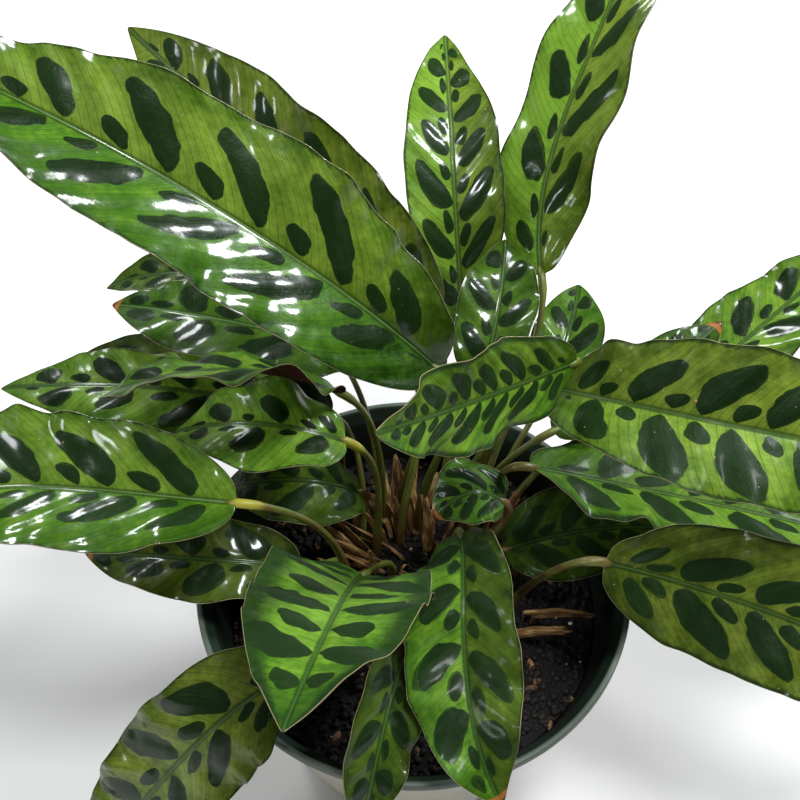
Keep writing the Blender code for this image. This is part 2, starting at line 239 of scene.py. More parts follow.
# A material, with one method that adds any node: its settings first, then the values or links of its
# sockets.
class Finish:
    def __init__(self, name, **constants):
        self.material = bpy.data.materials.new(name)
        self.material.use_nodes = True
        self.tree = self.material.node_tree
        self.shader = self.tree.nodes["Principled BSDF"]
        for key, value in constants.items():
            self.shader.inputs[key.replace("_", " ")].default_value = value

    def node(self, kind, settings=None, sockets=None, output=0):
        made = self.tree.nodes.new(kind)
        for key, value in (settings or {}).items():
            if key == "stops":
                for spot, colour in value[2:]:
                    made.color_ramp.elements.new(spot)
                for element, (spot, colour) in zip(made.color_ramp.elements, value):
                    element.position = spot
                    element.color = (*colour, 1.0)
            else:
                setattr(made, key, value)
        for key, value in (sockets or {}).items():
            self.feed(made.inputs[key], value)
        return Number(self, made.outputs[output])

    # Links a socket to a Number, or sets its value; a colour gets an alpha of 1.
    def feed(self, socket, value):
        if isinstance(value, Number):
            self.tree.links.new(value.socket, socket)
        elif isinstance(value, tuple) and len(value) == 3 and socket.type == "RGBA":
            socket.default_value = (*value, 1.0)
        else:
            socket.default_value = value

    def value(self, name):
        return self.node("ShaderNodeAttribute", {"attribute_name": name}, output="Fac")

    # Object coordinates, or a stored place, times a stretch.
    def place(self, name=None, stretch=(1.0, 1.0, 1.0)):
        if name:
            where = self.node("ShaderNodeAttribute", {"attribute_name": name}, output="Vector")
        else:
            where = self.node("ShaderNodeTexCoord", output="Object")
        return self.node("ShaderNodeVectorMath", {"operation": "MULTIPLY"}, {0: where, 1: stretch})

    def noise(self, where, scale, detail=2.0, rough=0.5):
        sockets = {"Vector": where, "Scale": scale, "Detail": detail, "Roughness": rough}
        return self.node("ShaderNodeTexNoise", {}, sockets, "Fac")

    def mix(self, share, first, second):
        return self.node("ShaderNodeMix", {"data_type": "RGBA"}, {0: share, 6: first, 7: second}, 2)

    # Each layer's colour covers what lies under it by its share.
    def layers(self, ground, *layers):
        for share, colour in layers:
            ground = self.mix(share, ground, colour)
        return ground

    def parts(self, where):
        split = self.node("ShaderNodeSeparateXYZ", {}, {0: where})
        return [Number(self, socket) for socket in split.socket.node.outputs]

    def bump(self, height, strength=1.0):
        sockets = {"Strength": strength, "Distance": mm, "Height": height}
        return self.node("ShaderNodeBump", {}, sockets, "Normal")

    def wear(self, **sockets):
        for key, value in sockets.items():
            self.feed(self.shader.inputs[key.replace("_", " ")], value)
        return self.material


leafForm = {
    "tipPower": 2.2,
    "baseHalf": 1.2,
    "tipHalf": 0.5,
    "wavePower": 1.6,
    "sideShift": 0.31,
    "rowStep": 1.0,  # between rows of points along the midrib
    "sideColumns": 19,
    "thickness": (0.55, 0.42, 0.32),  # at the midrib, three tenths of the way out, and at the margin
    "keel": (0.75, 0.9),  # the midrib's depth below, and its width
    "groove": (0.40, 1.5),  # the groove above it
    "ridge": (0.45, 0.5),  # the fine ridge in the groove
    "rippleReach": 7.0,  # between the margin's small ripples, along it
    "unevenReach": 9.0,  # between the bays of its outline
    "veinStep": 2.9,
    "quilt": 0.11,  # how far the blade swells between its side veins
    "waves": 0.30,  # how far it swells between its spots
    "uneven": 0.26,
    "ragged": 0.026,
    "rippleHeight": 1.1,  # how far the margin swings up and down besides
    "swingReach": 16.0,  # between those swings
}

# What a leaf takes where it says nothing of its own. twist: how much the blade turns from base to tip. cup:
# how far its halves bend down. widest: where, from 0 to 1. rippleShare: the margin's small ripples, as a
# share of its waves. rib and pale: how pale the midrib and the spots are. band: how much of a half its dark
# margin takes. burn: how far the brown tip reaches. yellow: a yellow knuckle. paintedBaseShade and
# paintedTipShade: painted shade, how much darker the blade's colour is made towards its base and its tip.
# reach: how far the stem runs on straight from the soil, and into the blade.
leafHabit = dict(
    roll=0, twist=0, cup=0.05, widest=0.43, rippleShare=1.1, rib=0.2, pale=0, band=0.06, burn=0,
    yellow=False, paintedBaseShade=0.3, paintedTipShade=0.1, reach=(0.4, 0.3),
)

# foot: where the stem leaves the soil. path: the midrib, from the blade's base to its tip. roll lifts the
# right side. fold: how far each half stands up. wave: height of the margin's waves, their number and phase.
# arrive: the stem's direction at the blade. brownStem: how brown the stem is. spots: see spotForm. tone and
# olive: the ground's colour, from deep green to lime, and towards olive. gloss: 0 is satin, 1 is wet. Of
# two values, the first is for the blade's left half and the second for its right half.
leaves = {
    "upper_left": dict(
        foot=(2, 31), path=((7, 20, 200), (-46, 26, 253), (-96, 38, 282), (-142, 56, 293)),
        width=57, roll=24, twist=-25, fold=26, cup=0.10, wave=(2.6, 3.6, 0.0), arrive=(-2, -1, 3),
        # The right half's lighter tone and paler spots are its olive green with the sky's sheen painted in.
        tone=(0.50, 0.82), olive=(0.0, 0.5), gloss=1.0, band=0.05, rib=0.8, pale=(0.0, 0.3), paintedBaseShade=0.5,
        spots=dict(step=0.157, first=(0.12, 0.09), slant=(1.4, 1.12), reach=(0.66, 0.73), breadth=0.235),
    ),
    "upper_left_rear": dict(
        foot=(-4, 42), path=((6, 66, 172), (-44, 86, 222), (-99, 134, 248)),
        width=50, roll=55, twist=-10, fold=8, wave=(2.0, 3.5, 0.3),
        tone=0.84, olive=(0.7, 0.85), gloss=0.9, rib=0.5, pale=0.4,
        spots=dict(step=0.15, first=(0.12, 0.09), slant=(1.2, 1.0), reach=(0.70, 0.72)),
    ),
    "upright": dict(
        foot=(12, 43), path=((19, 82, 149), (15, 108, 197), (13, 184, 212)),
        width=39, roll=-14, twist=10, fold=8, wave=(1.6, 3.0, 0.2),
        tone=(0.94, 0.76), olive=(0.15, 0.65), gloss=0.75, band=0.07, pale=(0.4, 0.3), rib=0.8,
        rippleShare=0,
        spots=dict(breadth=0.31, step=0.136, first=(0.109, 0.070), slant=(0.85, 1.25),
            reach=(0.72, 0.74), small=0.34),
    ),
    "upright_right": dict(
        foot=(27, 50), path=((47, 84, 178), (48, 109, 199), (58, 130, 226), (83, 186, 286)),
        width=44, roll=24, twist=-6, fold=6, wave=(2.4, 3.6, 0.1),
        tone=(1.0, 0.86), olive=(0.0, 0.7), gloss=0.8, rib=0.7, pale=(0.3, 0.5), rippleShare=0,
        spots=dict(step=0.182, first=(0.06, -0.03), slant=(0.75, 1.6), reach=(0.64, 0.76), small=0.32),
    ),
    "upright_short": dict(
        foot=(20, 38), path=((24, 46, 160), (30, 66, 176), (34, 96, 184)),
        width=32, roll=6, fold=22, cup=0.10, wave=(2.0, 2.5, 0.4),
        tone=(0.46, 0.42), olive=0.3, gloss=0.9, rib=0.6,
        spots=dict(step=0.3, first=(0.2, 0.4), slant=0.7),
    ),
    "rear_small": dict(
        foot=(32, 42), path=((51, 62, 136), (61, 84, 150), (66, 104, 152)),
        width=28, fold=10, wave=(1.2, 2.0, 0.0),
        tone=(0.5, 0.52), olive=0.1, gloss=0.5,
        spots=dict(step=0.36, first=(0.2, 0.4)),
    ),
    "centre": dict(
        foot=(18, 32), path=((51, 23, 200), (18, -7, 219), (-11, -40, 247)),
        width=32, roll=72, twist=10, fold=4, wave=(1.8, 3.0, 0.5), arrive=(3, 0, 4),
        tone=(0.76, 0.66), olive=(0.1, 0.45), gloss=0.35, band=0.16, pale=0.2,
        spots=dict(step=0.14, first=(0.06, 0.12), slant=1.1, reach=(0.72, 0.76), breadth=0.31, small=0.5),
    ),
    "right": dict(
        foot=(22, 16), path=((47, 30, 178), (82, 5, 196), (122, -2, 192), (175, 14, 160)),
        width=51, roll=-30, twist=-30, fold=20, cup=0.08, wave=(2.6, 3.4, 0.6),
        tone=0.76, olive=(0.85, 0.45), gloss=0.06, band=0.07, pale=(0.1, 0.2),
        spots=dict(step=0.14, first=(0.07, -0.01), slant=(0.8, 0.34), reach=(0.70, 0.90), breadth=0.27),
    ),
    "right_under": dict(
        foot=(31, 33), path=((42, 20, 146), (90, 17, 134), (140, 5, 132), (182, 9, 112)),
        width=48, roll=10, twist=-10, fold=10, cup=0.06, wave=(3.2, 3.6, 0.2),
        tone=(0.66, 0.80), olive=(0.1, 0), gloss=0.12, band=0.17, pale=(0.5, 0.6), rib=0.7,
        spots=dict(step=0.2, first=(-0.01, 0.10), slant=1.1, reach=(0.72, 0.78), breadth=0.30),
    ),
    "right_hidden": dict(
        foot=(26, 39), path=((52, 42, 138), (88, 60, 148), (119, 84, 152)),
        width=27, roll=-10, fold=8, wave=(1.5, 2.5, 0.0),
        tone=0.4, olive=0.2, gloss=0.6, band=0.1, burn=5,
        spots=dict(step=0.2),
    ),
    "right_low": dict(
        foot=(40, 12), path=((34, 10, 106), (60, 13, 114), (90, 14, 116)),
        width=36, roll=-25, twist=-10, fold=14, cup=0.06, wave=(1.8, 2.6, 0.1),
        tone=0.46, olive=0.5, gloss=0.06, band=0.08, pale=0.9,
        spots=dict(breadth=0.3, step=0.3, first=(0.12, 0.2), slant=0.8),
    ),
    "right_front": dict(
        foot=(36, -6), path=((62, -22, 152), (89, -24, 142), (126, -38, 140), (180, -46, 96)),
        width=49, roll=-42, twist=6, fold=8, cup=0.06, wave=(2.2, 3.4, 0.7), reach=(0.1, 0.3),
        tone=(0.72, 0.66), olive=(0.95, 0.9), gloss=0.3, band=0.08, brownStem=2.2, pale=(0.3, 0.2),
        spots=dict(step=0.158, first=(0.045, 0.05), slant=(1.4, 0.95), reach=(0.58, 0.84), breadth=0.32),
    ),
    "front": dict(
        foot=(14, 12), path=((17, 6, 124), (16, -34, 138), (18, -68, 133), (27, -89, 118)),
        width=40, roll=-20, twist=7, fold=18, cup=0.08, wave=(2.2, 3.2, 0.4), widest=0.55,
        tone=(0.44, 0.66), olive=(0.65, 0), gloss=0.12, band=0.05, burn=4, pale=(0.25, 0.2),
        spots=dict(step=0.21, first=(0.13, 0.09), slant=(1.05, 0.72), reach=(0.80, 0.88), breadth=0.30),
    ),
    "front_curled": dict(
        foot=(21, 10), path=((32, 12, 136), (20, 10, 145), (7, 4, 138)),
        width=28, roll=10, fold=16, cup=0.10, wave=(2.2, 1.8, 0.2),
        tone=(0.45, 0.58), olive=(0.1, 0.05), gloss=0.2, band=0.1, burn=3, pale=0.1,
        spots=dict(step=0.32, first=(0.14, 0.30), slant=1.2, breadth=0.34, small=0.35),
    ),
    "front_left": dict(
        foot=(-8, 10), path=((-18, -11, 124), (-25, -61, 184), (-33, -103, 212)),
        width=56, twist=-20, fold=16, cup=0.08, wave=(2.6, 3.0, 0.3),
        tone=(0.68, 0.76), olive=0, gloss=0.03, band=0.42, pale=(0.3, 0.35), paintedTipShade=0.55,
        spots=dict(step=0.22, first=(0.08, 0.09), slant=(0.25, -0.1), reach=(1.0, 1.05), breadth=0.23,
            small=0.6),
    ),
    "front_left_low": dict(
        foot=(-6, -4), path=((-36, -42, 118), (-56, -58, 124), (-83, -72, 98), (-126, -90, 54)),
        width=43, roll=40, twist=-10, fold=-4, wave=(2.4, 3.4, 0.1),
        tone=(0.70, 0.66), olive=(0.9, 0.95), gloss=0.8, band=0.05, paintedBaseShade=0.1,
        spots=dict(step=0.205, first=(0.09, 0.035), slant=(1.5, 0.75), reach=(0.66, 0.86), breadth=0.26),
    ),
    "left": dict(
        foot=(-25, 4), path=((-58, -8, 166), (-87, -6, 168), (-137, 0, 163), (-185, 2, 132)),
        width=52, roll=16, twist=-10, fold=28, cup=0.06, wave=(2.4, 3.4, 0.5),
        tone=(0.60, 0.82), olive=(0.05, 0.3), gloss=1.0, band=0.04, yellow=True, rib=0.8,
        pale=(0.5, 0.3), paintedBaseShade=0.1,
        spots=dict(step=0.18, first=(0.06, 0.11), slant=(1.4, 1.0), reach=(0.62, 0.80), breadth=0.28),
    ),
    "left_low": dict(
        foot=(-26, 12), path=((-41, -3, 117), (-67, -5, 124), (-121, 5, 113)),
        width=32, roll=12, twist=-20, fold=10, wave=(2.0, 3.0, 0.0),
        tone=0.48, olive=0.9, gloss=0.9, band=0.05, burn=6,
        spots=dict(step=0.26, first=(0.1, 0.2), slant=0.6, breadth=0.3),
    ),
    "left_inner": dict(
        foot=(-14, 20), path=((-24, 22, 159), (-44, 20, 170), (-84, 28, 156)),
        width=36, roll=6, fold=12, cup=0.10, wave=(2.2, 2.6, 0.2),
        tone=(0.80, 0.76), olive=(0.0, 0.1), gloss=0.4, band=0.05, yellow=True, paintedBaseShade=0.05,
        spots=dict(breadth=0.22, reach=(0.6, 0.5), step=0.30, first=(0.16, 0.36), slant=0.7),
    ),
    "left_inner_low": dict(
        foot=(-20, 26), path=((-20, 32, 112), (-40, 24, 132), (-72, 32, 116)),
        width=34, roll=20, fold=8, wave=(2.0, 2.6, 0.5),
        tone=0.54, olive=0.6, gloss=0.2, pale=0.4,
        spots=dict(step=0.3, first=(0.12, 0.2), slant=0.9),
    ),
    "left_rear_curled": dict(
        foot=(-12, 34), path=((-26, 34, 171), (-62, 25, 194), (-104, 22, 183)),
        width=29, roll=-30, twist=10, fold=14, cup=0.10, wave=(2.6, 2.6, 0.1),
        tone=(0.62, 0.66), olive=(0.35, 0.1), gloss=0.2, band=0.1,
        spots=dict(breadth=0.26, step=0.3, first=(0.1, 0.16), slant=1.3),
    ),
    "left_rear": dict(
        foot=(-20, 40), path=((-32, 60, 124), (-84, 68, 138), (-142, 74, 130)),
        width=42, roll=15, fold=8, wave=(2.0, 3.0, 0.6),
        # Its deep tone is partly its own olive green and partly painted shade from the leaves above.
        tone=0.22, olive=0.8, gloss=0.25, band=0.08, rib=0.6,
        spots=dict(step=0.26, first=(0.1, 0.16)),
    ),
    "left_rear_low": dict(
        foot=(-29, 50), path=((-38, 48, 142), (-92, 48, 156), (-154, 56, 146)),
        width=38, fold=6, wave=(2.0, 3.0, 0.2),
        tone=(0.80, 0.76), olive=(0.1, 0.2), gloss=0.5,
        spots=dict(breadth=0.24, step=0.22, first=(0.1, 0.16)),
    ),
    "left_back": dict(
        foot=(-5, 25), path=((-7, 57, 159), (-54, 60, 175), (-113, 82, 164)),
        width=40, roll=8, twist=12, fold=14, cup=0.06, wave=(2.0, 3.0, 0.4),
        tone=0.38, olive=0.2, gloss=0.7, burn=5, rib=0.5,
        spots=dict(slant=0.6, breadth=0.30, step=0.24, first=(0.12, 0.18)),
    ),
    "left_back_low": dict(
        foot=(-13, 48), path=((-34, 84, 140), (-80, 104, 156), (-126, 116, 138)),
        width=30, roll=10, fold=8, wave=(1.6, 2.6, 0.0),
        tone=(0.42, 0.40), olive=0.6, gloss=0.5,
        spots=dict(step=0.19, first=(0.12, 0.18)),
    ),
    "right_rear": dict(
        foot=(36, 32), path=((82, 62, 120), (122, 78, 138), (150, 97, 152), (180, 114, 166)),
        width=42, roll=10, fold=10, wave=(2.0, 3.2, 0.3),
        tone=(0.76, 0.72), olive=(0.2, 0.1), gloss=1.0,
        spots=dict(step=0.19, first=(0.1, 0.16), slant=1.0),
    ),
    "front_small": dict(
        foot=(3, -6), path=((-3, -37, 120), (-9, -64, 130), (-18, -93, 98)),
        width=25, roll=35, twist=-20, fold=10, cup=0.06, wave=(1.6, 2.4, 0.1),
        tone=(0.34, 0.38), olive=0.6, gloss=0.5,
        spots=dict(step=0.24, first=(0.16, 0.22), slant=0.9),
    ),
}


# The way along a line to each of its points: the running sum of its straight runs.
def lengthsAlong(line):
    return np.cumsum(np.linalg.norm(np.diff(line, axis=0, prepend=line[:1]), axis=1))


# One polynomial through all the points, spaced along it by the lengths of the straight runs between them.
def curveThrough(path, t):
    path = np.asarray(path, float)
    runs = np.linalg.norm(np.diff(path, axis=0), axis=1)
    knots = np.concatenate([[0.0], np.cumsum(runs)]) / runs.sum()
    curve = np.zeros((len(t), 3))
    for i, point in enumerate(path):
        others = np.delete(knots, i)
        weight = np.prod((t[:, None] - others) / (knots[i] - others), axis=1)
        curve += weight[:, None] * point
    return curve


# The curve's point just after t less its point just before, at length 1.
def directionAlong(path, t):
    step = 0.002
    return unit(curveThrough(path, t + step) - curveThrough(path, t - step))


# The blade's half width, from 0 to 1: a quarter circle to the widest place, then 1 - x^tipPower to the tip.
def outline(t, widest):
    rise = np.clip(t / widest, 0, 1)
    fall = np.clip((t - widest) / (1 - widest), 0, 1)
    return np.where(t < widest, np.sqrt(1 - (1 - rise) ** 2), 1 - fall ** leafForm["tipPower"])


# The blade's surface: the midrib's curve, a level direction across it turned by roll and twist, each half
# folded up by fold and cupped by its square, and the margin lifted by a sine along the length times the
# side's power.
def bladeSurface(leaf, t, s, seed):
    middle = curveThrough(leaf["path"], t)
    along = directionAlong(leaf["path"], t)
    level = unit(np.cross(along, (0.0, 0.0, 1.0)))
    above = np.cross(level, along)
    turn = np.radians(leaf["roll"] + leaf["twist"] * (t - 0.5))[:, None]
    across = np.cos(turn) * level + np.sin(turn) * above
    up = np.cross(across, along)
    shape = outline(t, leaf["widest"])[:, None]
    end = leafForm["baseHalf"] + (leafForm["tipHalf"] - leafForm["baseHalf"]) * t[:, None]
    half = end + (leaf["width"] / 2 - end) * shape
    left = (s < 0)[None, :]
    far = lengthsAlong(middle)[:, None]
    uneven = lumps(far + 40 * left, far * 0, leafForm["unevenReach"], seed)
    side = np.abs(s)[None, :]
    half = half * (1 + leafForm["ragged"] * uneven * shape)
    height, count, phase = leaf["wave"]
    swing = np.sin(2 * math.pi * (count * t[:, None] + phase + leafForm["sideShift"] * left))
    small = lumps(far + 70 * left, far * 0, leafForm["rippleReach"], seed + 1)
    wave = height * np.minimum(1, 1.3 * shape) * side ** leafForm["wavePower"] * swing
    wave = wave + leaf["rippleShare"] * height * np.minimum(1, shape) * side**2.5 * small
    fold = math.radians(leaf["fold"])
    sideways = half * s[None, :] * math.cos(fold)
    upward = half * (side * math.sin(fold) - leaf["cup"] * side**2) + wave
    grid = middle[:, None] + sideways[..., None] * across[:, None] + upward[..., None] * up[:, None]
    return grid, far * np.ones_like(side), half * side, half


# Where a side vein left the midrib: its distance along less a slant that grows with the distance across.
def veinStart(far, out, half, slant):
    return far - slant * (0.55 * out + 0.45 * out * out / np.maximum(half.max(), 1e-6))


# Large spots stand a step apart along a half blade, as a share of its length, with a small one between two.
spotForm = {
    "step": 0.16,
    "first": (0.10, 0.16),  # the first large spot's place on each half
    "slant": 0.9,  # how far a side vein runs on towards the tip
    "reach": 0.78,  # a large spot's length, as a share of the half's width
    "breadth": 0.26,  # half a large spot's breadth, as a share of the step
    "small": 0.34,  # a small spot's length, as a share of a large one's
    "inner": 0.05,  # where spots begin beside the midrib
    "smallBreadth": 0.62,
    "pointed": 1.55,
    "blunt": 2.1,
}


leafColours = {
    "greens": ((0.0, (0.006, 0.026, 0.001)), (0.5, (0.044, 0.122, 0.006)), (1.0, (0.166, 0.322, 0.026))),
    "olives": ((0.0, (0.011, 0.017, 0.001)), (0.5, (0.059, 0.084, 0.006)), (1.0, (0.190, 0.250, 0.026))),
    "vein": (0.006, 0.026, 0.003),
    "spot": (0.004, 0.014, 0.002),
    "paleSpot": (0.014, 0.040, 0.007),
    "margin": (0.005, 0.019, 0.004),
    "ribCore": (0.022, 0.062, 0.010),
    "paleRib": (0.130, 0.220, 0.060),
    # The next colour is painted shade beside the midrib, in its groove.
    "ribGrooveShade": (0.006, 0.026, 0.003),
    "edge": (0.230, 0.220, 0.090),
    "blemish": (0.420, 0.250, 0.140),
    "burnt": (0.250, 0.095, 0.022),
    "burntDark": (0.070, 0.022, 0.007),
    "under": (0.030, 0.005, 0.007),
    "underVein": (0.075, 0.018, 0.016),
}


# One row of spots: in each step along the side veins, an oval where |b|^pointed + |2a - 1|^blunt is under
# 1. a is the share of its length across the blade, b of its half breadth, wider outwards. Sizes are drawn.
def spotRow(finish, run, share, seed, reach, breadth, shift):
    index = (run + shift).floor()
    where = finish.node("ShaderNodeCombineXYZ", {}, {0: index, 1: seed, 2: shift})
    draw = finish.node("ShaderNodeTexWhiteNoise", {}, {"Vector": where}, "Color")
    first, second = finish.parts(draw)[:2]
    a = (share - spotForm["inner"]) / (reach * (0.86 + 0.24 * second))
    beside = run + shift - index - 0.5 + (second - 0.5) * 0.07
    b = beside / (breadth * (0.84 + 0.34 * first) * (0.74 + 0.46 * a))
    return 1 - (abs(b) ** spotForm["pointed"] + abs(a * 2 - 1) ** spotForm["blunt"]) ** 0.5


# The blade's finish: a ramp of greens by tone, darkened at the base and tip as painted shade, mixed with
# olives and streaked along the side veins, with the dark margin, then the spots where spotRow is over 0, the
# midrib with painted shade along its sides, the pale rim, small marks and the brown tip.
def leafFinish():
    finish = Finish("leafSkin", IOR=1.45, Specular_IOR_Level=0.12, Coat_Roughness=0.14, Coat_IOR=1.5)
    colours = leafColours
    where = finish.place("leafPlace")
    across, seed = finish.parts(where)[1:]
    vein = finish.value("veinStart")
    tone, olive, gloss = finish.value("tone"), finish.value("olive"), finish.value("gloss")
    under = finish.value("under")
    streakPlace = finish.node("ShaderNodeCombineXYZ", {}, {0: vein, 1: across * 0.14, 2: seed})
    streaks = finish.noise(streakPlace, 1.2, 3.0, 0.6)
    broad = finish.noise(streakPlace, 0.16, 2.0)
    blotches = finish.noise(where, 0.10, 3.0, 0.6)
    patches = finish.noise(where, 0.40, 2.0)
    fine = finish.noise(where, 2.2, 2.0)
    level = tone + (blotches - 0.5) * 0.75 + (streaks - 0.5) * 0.22 + (broad - 0.5) * 0.50
    level = level + (patches - 0.5) * 0.22 + (fine - 0.5) * 0.12
    # Darker towards the margin by the cube of the share across, and darker at the base and tip as painted
    # shade.
    level = level - (1 - finish.value("edgeShare")) ** 3 * 0.22 - finish.value("shade")
    green = finish.node("ShaderNodeValToRGB", {"stops": colours["greens"]}, {0: level})
    brown = finish.node("ShaderNodeValToRGB", {"stops": colours["olives"]}, {0: level})
    ground = finish.mix(olive + (blotches - 0.5) * 0.5, green, brown)
    lines = (vein * (2 * math.pi / leafForm["veinStep"])).sine().ease(0.90, 1.0)
    ground = finish.mix(lines * 0.45, ground, colours["vein"])
    band = finish.value("band")
    depth = finish.value("edgeShare") + (streaks - 0.5) * 0.10 + (patches - 0.5) * 0.05
    ground = finish.mix((1 - depth / band).ease(0.0, 0.7) * 0.85, ground, colours["margin"])
    run, share, size = finish.parts(finish.place("spotPlace"))
    reach, breadth, small = finish.parts(finish.place("spotShape"))
    bend = finish.noise(where, 0.16, 1.0)
    run, share = run + (bend - 0.5) * 0.16, share + (bend - 0.5) * 0.06
    large = spotRow(finish, run, share, seed, reach, breadth, 0.0)
    little = spotRow(finish, run, share, seed, reach * small, breadth * spotForm["smallBreadth"], 0.5)
    wobble = (streaks - 0.5) * 0.05 + (patches - 0.5) * 0.08 + (fine - 0.5) * 0.03 - (1 - size) * 1.3
    spot = (large.most(little) + wobble).ease(-0.02, 0.04)
    spotColour = finish.mix(finish.value("pale"), colours["spot"], colours["paleSpot"])
    spotColour = finish.mix((streaks - 0.42) * 1.8 + (blotches - 0.5) * 0.8, spotColour, colours["paleSpot"])
    out = finish.value("ribOut")
    ribCore = finish.mix(finish.value("rib"), colours["ribCore"], colours["paleRib"])
    edge = finish.value("edge") + (fine - 0.5) * 0.2 + (patches - 0.5) * 0.12
    blemish = finish.noise(where, 0.55, 1.0).ease(0.800, 0.815)
    burn = finish.value("burn") + (blotches - 0.5) * 0.5 + (fine - 0.5) * 0.2
    marked = finish.layers(
        ground,
        (spot, spotColour),
        # Painted shade: dark flanks beside the midrib, in its groove, under its pale core.
        (out.ease(1.45, 0.7) * 0.7, colours["ribGrooveShade"]),
        (out.ease(0.50, 0.15) * 0.75, ribCore),
        (edge.ease(0.20, 0.06), colours["edge"]),
        (blemish * 0.8, colours["blemish"]),
        (burn.ease(0.35, 0.55), colours["burnt"]),
        (burn.ease(0.85, 1.1), colours["burntDark"]),
    )
    rib = out.ease(1.3, 0.5) * 0.5
    below = finish.layers(colours["under"], (lines * 0.6, colours["underVein"]), (rib, colours["ribCore"]))
    colour = finish.mix(under, marked, below)
    grain = finish.noise(where, 1.1, 3.0, 0.65)
    speck = finish.noise(where, 3.2, 1.0)
    height = streaks * 0.11 + grain * 0.10 + patches * 0.24 + spot * 0.04 + speck * 0.018
    return finish.wear(
        Base_Color=colour,
        Roughness=0.52 - gloss * 0.16 + (grain - 0.5) * 0.14,
        Coat_Weight=gloss * (1 - under) * (0.66 + (broad - 0.5) * 0.9 + (blotches - 0.5) * 1.1),
        Normal=finish.bump(height, 1.0),
    )


# The columns of points across a blade, from -1 to 1, closest together at the midrib and at the margin.
def sideColumns():
    near = np.array([0.0, 0.018, 0.038, 0.062])
    wide = np.linspace(0.095, 0.955, leafForm["sideColumns"])
    half = np.concatenate([near, wide, [0.98, 0.993, 1.0]])
    return np.concatenate([-half[:0:-1], half])


# One blade: the surface above, swollen between its side veins and in soft waves between its spots, with a
# groove and a fine ridge at the midrib, a keel below it, and a thin rim.
def makeBlade(name, leaf, number, finish):
    spots = {**spotForm, **leaf["spots"]}
    path = np.asarray(leaf["path"], float)
    length = np.linalg.norm(np.diff(path, axis=0), axis=1).sum()
    rows = int(length / leafForm["rowStep"]) + 1
    u = np.linspace(0, 1, rows)
    t = 0.7 * u + 0.3 * (0.5 - 0.5 * np.cos(math.pi * u))
    s = sideColumns()
    seed = 100 + number
    grid, far, out, half = bladeSurface(leaf, t, s, seed)
    left = np.broadcast_to((s < 0)[None, :], out.shape)

    def perSide(value):
        return np.where(left, *np.broadcast_to(value, 2)).astype(float)

    vein = veinStart(far, out, half, perSide(spots["slant"]))
    run = (vein / far.max() - perSide(spots["first"])) / spots["step"] + 0.5
    body = ease(half / half.max(), 0.1, 0.5)
    middle = ease(out, 0.8, 5.0) * ease(half - out, 0.3, 3.0) * body
    swell = np.abs(np.sin(math.pi * vein / leafForm["veinStep"])) ** 0.8 - 0.6
    waves = np.cos(4 * math.pi * run)
    across = out * np.where(left, -1, 1)
    uneven = lumps(far + 90, across + 90, 8.0, seed + 2) + 0.5 * lumps(far + 90, across + 90, 3.5, seed + 3)
    share = out / np.maximum(half, 1e-6)
    relief = (leafForm["quilt"] * swell + leafForm["waves"] * waves + leafForm["uneven"] * uneven) * middle
    ripple = lumps(far + 90, 40 * left + 90.0, leafForm["swingReach"], seed + 5)
    relief = relief + leafForm["rippleHeight"] * share**3 * body * ripple
    rib = 1 - 0.7 * t[:, None]

    # height * e^-(out / width)^2, lower towards the tip
    def bell(key):
        height, width = leafForm[key]
        return height * rib * np.exp(-((out / width) ** 2))

    relief = relief - bell("groove") * body
    relief = relief + bell("ridge") * body
    thick = np.interp(share, (0, 0.3, 1), leafForm["thickness"])
    keel = bell("keel")
    normals = gridNormals(grid)
    upper = grid + normals * (relief + thick / 2)[..., None]
    lower = grid + normals * (relief * body - thick / 2 - keel)[..., None]
    points, faces = closedSheet(upper, lower)
    blend = ease(across, -0.8, 0.8)
    whole = far.max()
    toTip = whole - far
    burn = np.zeros_like(far)
    if leaf["burn"] > 0:
        burn = 1.3 - toTip / leaf["burn"] + 0.3 * share**2
    ends = ease(far, 0.015 * whole, 0.10 * whole) * ease(toTip, 0.02 * whole, 0.12 * whole)
    # Painted shade: the colour darkens towards the blade's base, in the shade of the crown and the leaves
    # above, and towards its tip.
    paintedBaseShade = leaf["paintedBaseShade"] * ease(far, 0.3 * whole, 0.0)
    paintedTipShade = leaf["paintedTipShade"] * ease(toTip, 0.25 * whole, 0.0)
    flat = {"veinStart": vein, "ribOut": out, "edge": half - out, "edgeShare": 1 - share, "burn": burn}
    flat["shade"] = paintedBaseShade + paintedTipShade
    for key in ("tone", "olive", "pale", "gloss", "rib", "band"):
        first, second = np.broadcast_to(leaf[key], 2)
        flat[key] = first + (second - first) * blend
    values = {key: np.tile(value.ravel(), 2) for key, value in flat.items()}
    values["under"] = np.repeat([0.0, 1.0], far.size)
    values["leafPlace"] = bothFaces(far, across, 37.0 * number)
    values["spotPlace"] = bothFaces(run, share, ends)
    values["spotShape"] = bothFaces(perSide(spots["reach"]), spots["breadth"], spots["small"])
    places = sheetPlaces(faces, *far.shape)
    return addPiece(f"leaf_{name}", points, faces, "leaf", [f"blade_{name}"], finish, values, places)


leafSkin = leafFinish()
for number, (name, leaf) in enumerate(leaves.items()):
    makeBlade(name, {**leafHabit, **leaf}, number, leafSkin)
print("leaves:", len(leaves))


stemForm = {
    "sides": 14,
    "rings": 34,
    "soilLevel": 83.0,
    "holeDepth": 10.0,
    "rise": 6.0,
    "gap": 0.35,
    "footRadius": 1.85,
    "neckRadius": 1.2,
    "knuckleRadius": 1.65,
    "knuckleLength": 11.0,
    "endRadius": 0.7,
    "inset": (3.5, 0.35),  # how far the end runs on into the blade, and how far it sinks
    "grooveShare": 0.07,
}


